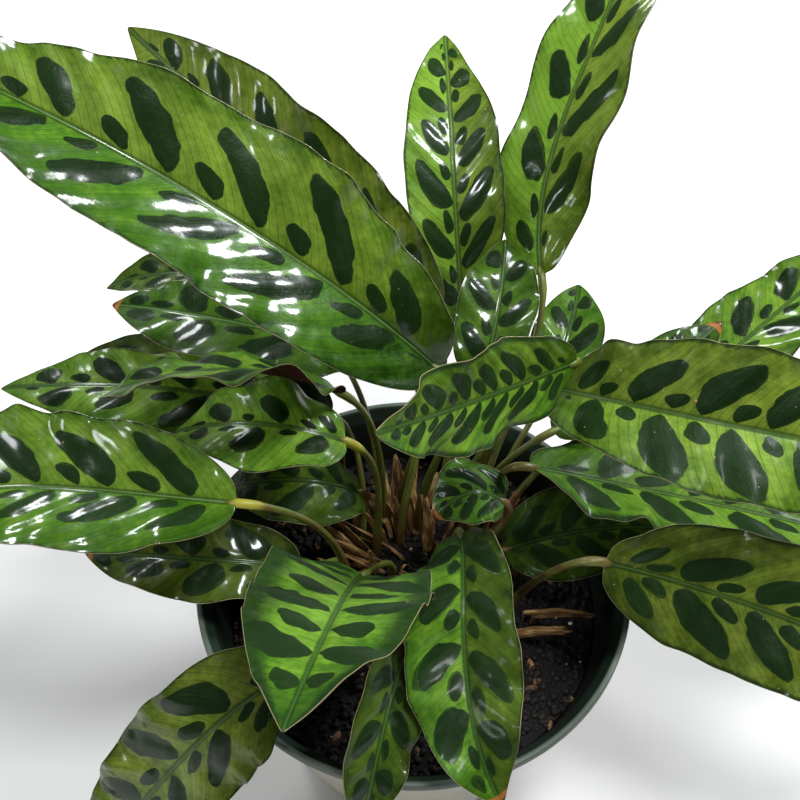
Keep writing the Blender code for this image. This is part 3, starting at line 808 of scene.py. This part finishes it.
# A cubic Bezier curve of four controls.
def bezier(controls, t):
    a, b, c, d = (np.asarray(point, float) for point in controls)
    t = t[:, None]
    return (1 - t) ** 3 * a + 3 * (1 - t) ** 2 * t * b + 3 * (1 - t) * t**2 * c + t**3 * d


# Where a stem stands in its hole, and where it leaves the soil.
def footEnds(foot):
    level = stemForm["soilLevel"]
    low = level - stemForm["holeDepth"] + stemForm["gap"]
    return np.array([*foot, low]), np.array([*foot, level + stemForm["rise"]])


# Rings round a line, closed at both ends: centre + radius (cos angle * first + sin angle * second).
def tube(line, ending, radii, sides):
    along = unit(np.gradient(line, axis=0))
    along[-1] = ending
    plane = np.cross((0.0, 0.0, 1.0), ending)
    plane = unit(plane) if np.linalg.norm(plane) > 0.05 else np.array([1.0, 0.0, 0.0])
    first = unit(plane - along * (along @ plane)[:, None])
    second = np.cross(along, first)
    angle = turnAngles(sides)[None, :, None]
    ring = np.cos(angle) * first[:, None] + np.sin(angle) * second[:, None]
    rings = line[:, None] + radii.reshape(len(line), -1, 1) * ring
    points = np.concatenate([rings.reshape(-1, 3), line[:1], line[-1:]])
    return points, ringFaces(len(line), sides)


stemColours = {
    "green": (0.056, 0.096, 0.009),
    "pale": (0.135, 0.180, 0.030),
    "brown": (0.080, 0.036, 0.012),
    "red": (0.100, 0.026, 0.013),
    "yellow": (0.360, 0.340, 0.030),
}


# The stem's finish: green with paler lines along it, browner at the foot, redder or yellow at the knuckle.
def stemFinish():
    finish = Finish("stemSkin", IOR=1.45, Coat_Weight=0.15, Coat_Roughness=0.3)
    colours = stemColours
    where = finish.place("stemPlace", (1.0, 1.0, 0.06))
    lines = finish.noise(where, 1.8, 3.0, 0.6)
    mottle = finish.noise(finish.place("stemPlace"), 0.22, 2.0)
    colour = finish.layers(
        colours["green"],
        (lines.ease(0.35, 0.7), colours["pale"]),
        ((mottle - 0.2) * finish.value("brown"), colours["brown"]),
        (finish.value("footShare") * 0.85, colours["brown"]),
        (finish.value("red") * 0.8, colours["red"]),
        (finish.value("yellow"), colours["yellow"]),
    )
    bump = finish.bump(lines * 0.12, 0.8)
    return finish.wear(Base_Color=colour, Roughness=0.34 + lines * 0.2, Normal=bump)


# One stem: a tube along a Bezier curve from the soil to the blade's base. It narrows along its way, and one
# eased rise times one eased fall makes the knuckle just before the blade.
def makeStem(name, leaf, number, finish):
    base = np.asarray(leaf["path"][0], float)
    facing = directionAlong(leaf["path"], np.array([0.0]))[0]
    arrive = unit(np.asarray(leaf.get("arrive", facing), float))
    low, start = footEnds(leaf["foot"])
    end = base - facing * stemForm["gap"]
    length = np.linalg.norm(end - start)
    leaveReach, arriveReach = leaf["reach"]
    controls = (start, start + (0, 0, leaveReach * length), end - arrive * arriveReach * length, end)
    bend = bezier(controls, np.linspace(0, 1, stemForm["rings"]))
    onward, sunk = stemForm["inset"]
    inside = base + facing * onward - (0, 0, sunk)
    line = np.concatenate([[low], bend, [inside]])
    far = lengthsAlong(line)
    left = far[-1] - far
    share = far / far[-1]
    foot, neck, knuckle = stemForm["footRadius"], stemForm["neckRadius"], stemForm["knuckleRadius"]
    radii = np.interp(share, (0, 0.25, 0.6, 1), (foot, foot, neck, neck))
    bulge = ease(left, stemForm["knuckleLength"] + 3, stemForm["knuckleLength"] - 2) * ease(left, 0.0, 3.5)
    radii = radii + (knuckle - neck) * bulge
    radii[-1] = stemForm["endRadius"]
    turns = turnAngles(stemForm["sides"])
    groove = 1 - stemForm["grooveShare"] * np.maximum(0, np.cos(turns + number)) ** 6
    points, faces = tube(line, facing, radii[:, None] * groove[None, :], stemForm["sides"])
    rings = len(line)

    def spread(value):
        return np.concatenate([np.repeat(value, stemForm["sides"]), value[:1], value[-1:]])

    around = np.tile(turns, rings)
    place = np.stack([np.cos(around) * 2, np.sin(around) * 2, np.repeat(far, stemForm["sides"])], -1)
    place = np.concatenate([place, [[0, 0, 0], [0, 0, far[-1]]]]) + (0, 0, 50.0 * number)
    brown = np.full(rings, leaf.get("brownStem", 0.5 + 1.3 * ((number * 0.37) % 1)))
    values = {
        "stemPlace": place,
        "brown": spread(brown),
        "footShare": spread(ease(share, 0.48, 0.08)),
        "red": spread(bulge * (number % 3 == 1)),
        "yellow": spread(bulge * (0.9 if leaf["yellow"] else 0.08)),
    }
    return addPiece(f"stalk_{name}", points, faces, "stem", [f"stem_{name}"], finish, values)


stemSkin = stemFinish()
for number, (name, leaf) in enumerate(leaves.items()):
    makeStem(name, {**leafHabit, **leaf}, number, stemSkin)
print("stems:", len(leaves))


dried = {
    "dry_sheath_1": dict(foot=(-27, 20), top=(-44, 24, 112), radius=2.6, flat=0.45, tip=0.5),
    "dry_sheath_2": dict(foot=(6, 22), top=(4, 27, 118), radius=2.6, flat=0.5, tip=0.5),
    "dry_sheath_3": dict(foot=(44, -8), top=(64, -20, 112), radius=3.0, flat=0.4, tip=0.4),
    "dry_stub": dict(foot=(35, -17), top=(57, -19, 98), radius=2.8, flat=0.6, tip=0.8),
}

driedForm = {
    "rows": 40,
    "columns": 22,
    "wrap": 300.0,  # how far a sheath closes round its stem
    "thickness": 0.30,
    "length": 40.0,
    "fibre": 0.8,  # between the points across a strip
    "ridge": 0.16,
    "ragged": 0.10,
}

driedColours = {
    "cinnamon": (0.215, 0.112, 0.036),
    "straw": (0.520, 0.370, 0.150),
    "dark": (0.040, 0.014, 0.006),
}


# The dried finish: long fibres from dark brown through cinnamon to straw.
def driedFinish():
    finish = Finish("driedHusk", IOR=1.4)
    where = finish.place("huskPlace", (1.0, 0.06, 1.0))
    fibres = finish.noise(where, 1.9, 4.0, 0.65)
    patches = finish.noise(finish.place("huskPlace"), 0.16, 2.0)
    colour = finish.layers(
        driedColours["dark"],
        (fibres.ease(0.3, 0.6), driedColours["cinnamon"]),
        ((fibres * 0.5 + patches * 0.5).ease(0.48, 0.66), driedColours["straw"]),
    )
    bump = finish.bump(fibres * 0.25, 0.9)
    return finish.wear(Base_Color=colour, Roughness=0.55 + patches * 0.3, Normal=bump)


# A dried strip rolled round a line: its cross-section is an arc of wrap degrees, its far end is ragged, and
# fine ridges run along it.
def rolledStrip(line, radii, wrap, flat, seed, rows, columns):
    draw = np.random.default_rng(seed)
    ends = 1 - driedForm["ragged"] * draw.uniform(0, 1, columns)[None, :]
    share = np.linspace(0, 1, rows)[:, None] * ends
    knots = np.linspace(0, 1, len(line))
    centre = np.stack([np.interp(share, knots, line[:, k]) for k in range(3)], -1)
    radius = np.interp(share, knots, radii)
    along = unit(line[-1] - line[0])
    first = unit(np.cross(along, (0.3, 1.0, 0.2)))
    second = np.cross(along, first)
    angle = np.radians(wrap) * (np.linspace(-0.5, 0.5, columns)[None, :]) + 0.5 * share + seed
    ridge = driedForm["ridge"] * np.sin(np.arange(columns) * 2.1)[None, :]
    wander = 0.25 * lumps(share * 30, angle * 4, 3.0, seed)
    reach = (radius + ridge + wander)[..., None]
    return centre + reach * (np.cos(angle)[..., None] * first + flat * np.sin(angle)[..., None] * second)


# The strip's closed body, and the places of its points along and across its fibres.
def stripBody(line, radii, wrap, flat, seed, rows, columns, length, number):
    grid = rolledStrip(line, radii, wrap, flat, seed, rows, columns)
    normals = gridNormals(grid)
    half = driedForm["thickness"] / 2
    points, faces = closedSheet(grid + normals * half, grid - normals * half)
    across, along = np.meshgrid(np.arange(columns) * driedForm["fibre"], np.linspace(0, length, rows))
    return points, faces, bothFaces(across, along, 11.0 * number)


# One dried sheath or stub: a strip rolled round a slightly bowed line from its hole up to its top.
def makeDried(name, piece, number, finish):
    low, start = footEnds(piece["foot"])
    top = np.array(piece["top"], float)
    line = np.array([low, start, start * 0.5 + top * 0.5 + (0, 0, 2), top])
    radii = (piece["radius"] - driedForm["ridge"]) * np.array([1.0, 1.0, 0.95, piece["tip"]])
    points, faces, places = stripBody(
        line, radii, driedForm["wrap"], piece["flat"], 40 + number, driedForm["rows"], driedForm["columns"],
        driedForm["length"], number,
    )
    addPiece(f"sheath_{name}", points, faces, "dried", [name], finish, {"huskPlace": places})


driedHusk = driedFinish()
for number, (name, piece) in enumerate(dried.items()):
    makeDried(name, piece, number, driedHusk)


# Short dried husks that stand and lean round the crown, all in one body.
huskForm = {
    "count": 84,
    "crown": (4, 20),
    "spread": (32, 22),
    "length": (10, 32),
    "radius": (1.1, 3.0),
    "wrap": (110, 210),
    "flat": 0.6,
    "rows": 9,
    "columns": 7,
    "seed": 21,
}


# Each husk's line starts inside an ellipse round the crown and sags by the square of the way along it.
def makeHusks(finish):
    draw = np.random.default_rng(huskForm["seed"])
    allPoints, allFaces, allPlaces = [], [], []
    for k in range(huskForm["count"]):
        angle = draw.uniform(0, 2 * math.pi)
        out = math.sqrt(draw.uniform(0.05, 1))
        x = huskForm["crown"][0] + huskForm["spread"][0] * out * math.cos(angle)
        y = huskForm["crown"][1] + huskForm["spread"][1] * out * math.sin(angle)
        length = draw.uniform(*huskForm["length"])
        lean = draw.uniform(0.1, 0.9)
        aim = angle + draw.uniform(-0.7, 0.7)
        low = np.array([x, y, stemForm["soilLevel"] + 0.5])
        way = unit(np.array([lean * math.cos(aim), lean * math.sin(aim), 1.0]))
        sag = np.array([math.cos(aim), math.sin(aim), -0.6]) * 2.0
        steps = np.linspace(0, 1, 5)[:, None]
        line = low + way * length * steps + sag * steps**2
        radii = draw.uniform(*huskForm["radius"]) * np.array([1.0, 1.1, 1.0, 0.7, 0.3])
        points, faces, places = stripBody(
            line, radii, draw.uniform(*huskForm["wrap"]), huskForm["flat"], 60 + k, huskForm["rows"],
            huskForm["columns"], length, k,
        )
        allPoints.append(points)
        allFaces.append(faces + k * len(points))
        allPlaces.append(places)
    values = {"huskPlace": np.concatenate(allPlaces)}
    addPiece("crownHusks", np.concatenate(allPoints), np.concatenate(allFaces), "dried", [], finish, values)


makeHusks(driedHusk)
print("dried pieces:", len(dried) + 1)


potForm = {
    "height": 108.0,
    "rimRadius": 80.0,
    "rimHeight": 4.0,
    "lip": 2.2,
    "wallTopRadius": 76.6,
    "baseRadius": 55.0,
    "wall": 2.0,
    "floor": 3.0,
    "edge": 0.8,
    "hollow": 0.9,  # how far the underside's middle stands above its foot
    "footWidth": (4.5, 3.6),
    "footCorner": 1.2,
    "wallRows": (12, 30, 52, 76, 96),
    "innerRows": (92, 70, 40, 12),
    "innerCorner": ((2.0, 0.0), (0.2, 0.8), (0.0, 2.5)),  # above the floor, and in from the wall
    "sides": 192,
    "drainHoles": 5,
    "drainRadius": 4.5,
    "drainRing": 36.0,
    "drainCut": (-2.0, 6.0),
    "drainSides": 28,
    "sharpAngle": 38.0,
    "greenFrom": 103.0,
}


# The inner wall's radius at a height, on the straight line from the floor up to the rim.
def innerRadius(height):
    top = potForm["height"] - potForm["rimHeight"]
    share = (height - potForm["floor"]) / (top - potForm["floor"])
    slope = (potForm["wallTopRadius"] - potForm["baseRadius"]) / top
    low = potForm["baseRadius"] + slope * potForm["floor"] - potForm["wall"]
    return low + (potForm["wallTopRadius"] - potForm["wall"] - low) * share


# A profile of (radius, height) turned round +Z. Its first and last points lie on the axis.
def turned(profile, sides):
    profile = np.asarray(profile, float)
    angle = turnAngles(sides)
    ring = np.stack([np.cos(angle), np.sin(angle)], -1)
    inner = profile[1:-1]
    heights = np.repeat(inner[:, None, 1:], sides, axis=1)
    rings = np.concatenate([inner[:, None, :1] * ring[None], heights], -1)
    points = np.concatenate([rings.reshape(-1, 3), [[0, 0, profile[0, 1]], [0, 0, profile[-1, 1]]]])
    return points, ringFaces(len(inner), sides)


# A quarter turn of points from one place to another round a corner of that radius.
def rounded(centre, radius, startAngle, endAngle, steps=5):
    angle = np.radians(np.linspace(startAngle, endAngle, steps))
    return [(centre[0] + radius * math.cos(a), centre[1] + radius * math.sin(a)) for a in angle]


potColours = {
    "cream": (0.420, 0.405, 0.325),
    "creamWorn": (0.330, 0.310, 0.235),
    "green": (0.020, 0.040, 0.026),
    # The inside's green is the rim's green darkened as painted shade.
    "greenInShade": (0.005, 0.011, 0.007),
    # A pale green for the painted highlight on the rim's top, and for fine flecks.
    "greenHighlightAndFleck": (0.085, 0.112, 0.085),
    "dirt": (0.008, 0.006, 0.004),
}


# The pot's finish: cream outside, green inside and on the rim, the inside below the rim darker as painted
# shade and the rim's top paler as a painted highlight, with soil stuck inside.
def potFinish():
    finish = Finish("potShell", IOR=1.46)
    colours = potColours
    where = finish.place()
    height = finish.parts(where)[2] * 1000
    level = finish.place(None, (1000.0, 1000.0, 0.0))
    radial = finish.node("ShaderNodeVectorMath", {"operation": "LENGTH"}, {0: level}, "Value")
    cloud = finish.noise(where, 60.0, 4.0, 0.6)
    fine = finish.noise(where, 900.0, 2.0)
    streak = finish.noise(finish.place(None, (1.0, 1.0, 0.1)), 90.0, 3.0)
    outside = finish.mix(streak.ease(0.45, 0.8) * 0.6, colours["cream"], colours["creamWorn"])
    slope = (potForm["wallTopRadius"] - potForm["baseRadius"]) / (potForm["height"] - potForm["rimHeight"])
    middle = potForm["baseRadius"] - potForm["wall"] / 2 + height * slope
    isInside = (middle - radial).ease(-0.3, 0.3)
    isRim = height.ease(potForm["greenFrom"] - 0.3, potForm["greenFrom"] + 0.3)
    onTop = height.ease(106.5, 107.8)
    stuck = (cloud - 0.45) * 2.2 * height.ease(100.0, 84.0)
    # Painted shade: the inside below the rim is a darker copy of the rim's green.
    green = finish.layers(
        colours["greenInShade"],
        (stuck, colours["dirt"]),
        (isRim, colours["green"]),
        # Painted highlight: the rim's top is paler where light falls on it; the same pale green also makes
        # the fine flecks.
        (onTop * 0.9, colours["greenHighlightAndFleck"]),
        ((fine - 0.55) * 0.8, colours["greenHighlightAndFleck"]),
    )
    colour = finish.mix(isInside.most(isRim), outside, green)
    bump = finish.bump(fine * 0.05 + cloud * 0.08, 0.5)
    return finish.wear(Base_Color=colour, Roughness=0.38 + cloud * 0.2, Normal=bump)


# The pot: one profile turned round +Z, from the underside up the outside, over the rim and down the inside.
def makePot(finish):
    edge, top, rim = potForm["edge"], potForm["height"], potForm["rimRadius"]
    under = top - potForm["rimHeight"]
    lip = rim - potForm["lip"]
    base = potForm["baseRadius"]
    hollow, corner = potForm["hollow"], potForm["footCorner"]
    footIn, footOut = potForm["footWidth"]
    profile = [(0, hollow), (base - footIn, hollow), (base - footOut, 0.0)]
    profile += rounded((base - corner, corner), corner, 270, 348)
    wallTop = potForm["wallTopRadius"]
    for height in (*potForm["wallRows"], under - 1.2):
        profile.append((base + (wallTop - base) * height / under, height))
    profile += [(wallTop + 0.5, under - 0.5)]
    profile += rounded((rim - edge, under + edge), edge, 280, 360, 4)
    profile += rounded((rim - edge, top - edge), edge, 0, 90, 5)
    profile += rounded((lip + edge, top - edge), edge, 90, 180, 5)
    profile += [(innerRadius(h), h) for h in (under - 2, *potForm["innerRows"])]
    floor = potForm["floor"]
    for rise, inward in potForm["innerCorner"]:
        profile.append((innerRadius(floor + rise) - inward, floor + rise))
    profile.append((0, floor))
    points, faces = turned(profile, potForm["sides"])
    body = addPiece("potShell", points, faces, "pot", ["pot"], finish)
    cutDrains(body)
    body.data.shade_smooth()
    body.data.set_sharp_from_angle(angle=math.radians(potForm["sharpAngle"]))


# Cuts the drain holes with one Boolean, whose cutters are then removed.
def cutDrains(body):
    radius, (low, high) = potForm["drainRadius"], potForm["drainCut"]
    column = [(0, low), (radius, low), (radius, high), (0, high)]
    places, sides = turned(column, potForm["drainSides"])
    faces = [face for group in sides for face in group.tolist()]
    group = bpy.data.collections.new("drains")
    bpy.context.scene.collection.children.link(group)
    for angle in turnAngles(potForm["drainHoles"]):
        middle = np.array([math.cos(angle), math.sin(angle), 0.0]) * potForm["drainRing"]
        mesh = bpy.data.meshes.new("drain")
        mesh.from_pydata(((places + middle) * mm).tolist(), [], faces)
        group.objects.link(bpy.data.objects.new("drain", mesh))
    hole = body.modifiers.new("drains", "BOOLEAN")
    hole.operation = "DIFFERENCE"
    hole.operand_type = "COLLECTION"
    hole.collection = group
    graph = bpy.context.evaluated_depsgraph_get()
    cut = bpy.data.meshes.new_from_object(body.evaluated_get(graph))
    body.modifiers.clear()
    body.data = cut
    for cutter in list(group.objects):
        bpy.data.objects.remove(cutter, do_unlink=True)
    bpy.data.collections.remove(group)


makePot(potFinish())
print("pot done")


soilForm = {
    "level": 83.0,
    "mound": 4.0,
    "moundRadius": 70.0,
    "gap": 0.3,
    "edgeDip": 2.0,  # how far the soil may sink at the wall
    "cornerGap": 3.0,  # clear of the pot's rounded inner corner
    "rings": 76,
    "sides": 240,
    "seed": 5,
    "lumps": ((0.9, 9.0), (0.6, 4.0), (0.45, 1.7)),  # height and cell of each scale
}


# The soil's top: a low mound 1 - (r / R)^2 with lumps at three scales.
def soilHeight(x, y):
    radius = np.hypot(x, y)
    mound = soilForm["mound"] * np.clip(1 - (radius / soilForm["moundRadius"]) ** 2, 0, 1)
    rough = 0
    for k, (height, cell) in enumerate(soilForm["lumps"]):
        rough = rough + height * lumps(x + 200, y + 200, cell, soilForm["seed"] + k)
    return soilForm["level"] + mound + rough * ease(radius, 74.0, 68.0) - 0.4


soilColours = (
    (0.30, (0.0015, 0.001, 0.001)),
    (0.58, (0.005, 0.0035, 0.0025)),
    (0.72, (0.020, 0.012, 0.007)),
)


# The soil's finish: a ramp from near black to brown by a fine and a broad noise.
def soilFinish():
    finish = Finish("pottingMix", IOR=1.4)
    where = finish.place()
    grain = finish.noise(where, 700.0, 5.0, 0.7)
    patch = finish.noise(where, 90.0, 3.0)
    colour = finish.node("ShaderNodeValToRGB", {"stops": soilColours}, {0: grain * 0.75 + patch * 0.25})
    return finish.wear(Base_Color=colour, Roughness=0.65 + grain * 0.3, Normal=finish.bump(grain * 1.2, 1.0))


# The soil: a closed body of rings, the lowest one at the pot's floor. A ring on its top has the edge's
# radius times a share to the power 0.8, and the shares run evenly from 1 at the edge to 0.01.
def makeSoil(finish):
    floor = potForm["floor"] + soilForm["gap"]
    edge = innerRadius(soilForm["level"] - soilForm["edgeDip"]) - soilForm["gap"]
    radius = edge * np.linspace(1, 0.01, soilForm["rings"]) ** 0.8
    angle = turnAngles(soilForm["sides"])
    x, y = radius[:, None] * np.cos(angle), radius[:, None] * np.sin(angle)
    top = np.stack([x, y, soilHeight(x, y)], -1)
    low = innerRadius(floor) - soilForm["cornerGap"]
    bottom = np.stack([low * np.cos(angle), low * np.sin(angle), np.full_like(angle, floor)], -1)
    rings = np.concatenate([bottom[None], top])
    ends = np.array([[0, 0, floor], [0, 0, soilHeight(0.0, 0.0)]], float)
    points = np.concatenate([rings.reshape(-1, 3), ends])
    addPiece("pottingMix", points, ringFaces(len(rings), soilForm["sides"]), "soil", ["soil"], finish)


# Grains fall on a square field, and the ones that are too near the pot's wall are left out.
grainForm = {
    "field": 73.0,
    "farthest": 69.0,
    "rough": (0.72, 1.15),
}


# Two coordinates after a turn by an angle in their plane.
def swung(a, b, angle):
    return a * np.cos(angle) - b * np.sin(angle), a * np.sin(angle) + b * np.cos(angle)


# Rough grains: icosahedra with their corners pushed in and out at random, tilted, turned and partly sunk.
def grains(count, sizes, stretch, seed, sink):
    draw = np.random.default_rng(seed)
    golden = (1 + math.sqrt(5)) / 2
    corners = []
    for a in (-1, 1):
        for b in (-golden, golden):
            corners += [(0, a, b), (a, b, 0), (b, 0, a)]
    base = unit(np.array(corners, float))
    near = np.linalg.norm(base[:, None] - base[None], axis=-1) < 1.2
    trios = []
    for i, j, k in [(i, j, k) for i in range(12) for j in range(i) for k in range(j)]:
        if near[i, j] and near[j, k] and near[i, k]:
            outward = np.dot(np.cross(base[j] - base[i], base[k] - base[i]), base[i]) > 0
            trios.append((i, j, k) if outward else (i, k, j))
    place = draw.uniform(-1, 1, (count * 2, 2)) * grainForm["field"]
    place = place[np.hypot(place[:, 0], place[:, 1]) < grainForm["farthest"]][:count]
    count = len(place)
    size = draw.uniform(*sizes, (count, 1, 1))
    shape = base[None] * draw.uniform(*grainForm["rough"], (count, 12, 1)) * np.array(stretch) * size
    tilt, spin = draw.uniform(-0.5, 0.5, count), draw.uniform(0, 2 * math.pi, count)
    z, x = swung(shape[..., 2], shape[..., 0], tilt[:, None])
    x, y = swung(x, shape[..., 1], spin[:, None])
    ground = soilHeight(place[:, 0], place[:, 1])
    height = ground[:, None] + z + (0.5 - sink) * size[:, 0] * stretch[2]
    points = np.stack([place[:, :1] + x, place[:, 1:] + y, height], -1)
    faces = np.array(trios)[None] + 12 * np.arange(count)[:, None, None]
    return points.reshape(-1, 3), faces.reshape(-1, 3)


# Each kind of grain: how many, their sizes, the stretch along each side, the seed and how deep they sink.
# Then the name, the dark and light colours and the scale of their finish.
grainKinds = {
    "soilCrumbs": (
        (3200, (0.4, 2.1), (1.0, 0.8, 0.7), 31, 0.3),
        ("crumb", (0.0015, 0.001, 0.001), (0.014, 0.009, 0.006), 900.0),
    ),
    "barkChips": (
        (120, (1.2, 3.4), (1.0, 0.5, 0.28), 32, 0.1),
        ("barkChip", (0.045, 0.024, 0.012), (0.230, 0.120, 0.055), 500.0),
    ),
    "perliteBits": (
        (60, (0.4, 1.1), (1.0, 0.85, 0.8), 33, 0.2),
        ("perliteBit", (0.350, 0.320, 0.260), (0.720, 0.690, 0.600), 700.0),
    ),
}


# A grain's finish: its dark and light colours mixed by a wide and a fine noise.
def grainFinish(name, dark, light, scale):
    finish = Finish(name, IOR=1.4)
    where = finish.place()
    wide = finish.noise(where, 120.0, 2.0)
    fine = finish.noise(where, scale, 4.0, 0.65)
    colour = finish.mix((wide * 0.6 + fine * 0.4).ease(0.4, 0.62), dark, light)
    return finish.wear(Base_Color=colour, Roughness=0.6 + fine * 0.3, Normal=finish.bump(fine * 0.4, 0.8))


makeSoil(soilFinish())
for name, (form, look) in grainKinds.items():
    addPiece(name, *grains(*form), "soil", [], grainFinish(*look))
print("soil done")


stageForm = {
    "size": 9.0,
    # The floor's near colour is painted shade; its far colour is its own pale.
    "nearPaintedShade": (0.61, 0.605, 0.60),
    "farColour": (0.96, 0.96, 0.96),
    "world": 0.07,
    "cameraPlace": (-0.005, -0.206, 0.469),
    "cameraPitch": 51.54,
    "lens": 50.0,
}

# Each light: where it stands, the point it faces and its size in metres, its power in watts, its colour, and
# whether glossy surfaces mirror it.
lights = {
    "rearWindow": ((0.91, 0.60, 1.06), (0.0, 0.0, 0.18), 0.38, 22.0, (0.95, 0.98, 1.0), True),
    "overhead": ((0.25, -0.10, 1.40), (0.0, 0.0, 0.15), 0.28, 12.5, (0.96, 0.99, 1.0), True),
    "leftWindow": ((-1.05, -0.43, 0.80), (-0.05, 0.0, 0.18), 0.32, 6.0, (0.95, 0.98, 1.0), True),
    "rearLeft": ((-0.66, 0.95, 0.98), (0.0, 0.0, 0.18), 0.32, 9.0, (0.95, 0.98, 1.0), True),
    "softBox": ((-0.05, -1.05, 1.30), (0.0, 0.0, 0.10), 1.40, 4.5, (1.0, 0.985, 0.96), False),
}


# A wide floor whose colour brightens away from the camera, its greyer near part painted shade, and a dim
# white world.
def makeStage():
    half = stageForm["size"] / 2
    corners = [(-half, -half, 0), (half, -half, 0), (half, half, 0), (-half, half, 0)]
    mesh = bpy.data.meshes.new("floor")
    mesh.from_pydata(corners, [], [(0, 1, 2, 3)])
    floor = addObject("floor", mesh)
    finish = Finish("floorPaper")
    # Painted shade: the floor's colour is greyer towards the camera.
    back = finish.parts(finish.place())[1].ease(-0.02, 0.42)
    colour = finish.mix(back, stageForm["nearPaintedShade"], stageForm["farColour"])
    mesh.materials.append(finish.wear(Base_Color=colour, Roughness=0.9))
    world = bpy.data.worlds.new("studio")
    world.use_nodes = True
    world.node_tree.nodes["Background"].inputs[0].default_value = (1.0, 1.0, 1.0, 1.0)
    world.node_tree.nodes["Background"].inputs[1].default_value = stageForm["world"]
    bpy.context.scene.world = world


def makeLights():
    for name, (place, target, size, power, colour, mirrored) in lights.items():
        lamp = bpy.data.lights.new(name, "AREA")
        lamp.shape = "DISK"
        lamp.size = size
        lamp.energy = power
        lamp.color = colour
        item = addObject(name, lamp)
        item.location = place
        item.visible_glossy = mirrored
        way = Vector(target) - item.location
        item.rotation_euler = way.to_track_quat("-Z", "Y").to_euler()


# The camera, tipped down from level by its pitch.
def makeCamera():
    lens = bpy.data.cameras.new("camera")
    lens.lens = stageForm["lens"]
    lens.sensor_width = 36.0
    item = addObject("camera", lens)
    item.location = stageForm["cameraPlace"]
    item.rotation_euler = (math.radians(90 - stageForm["cameraPitch"]), 0.0, 0.0)
    bpy.context.scene.camera = item


makeStage()
makeLights()
makeCamera()
bpy.context.scene.view_settings.view_transform = "Standard"
print("stage done")
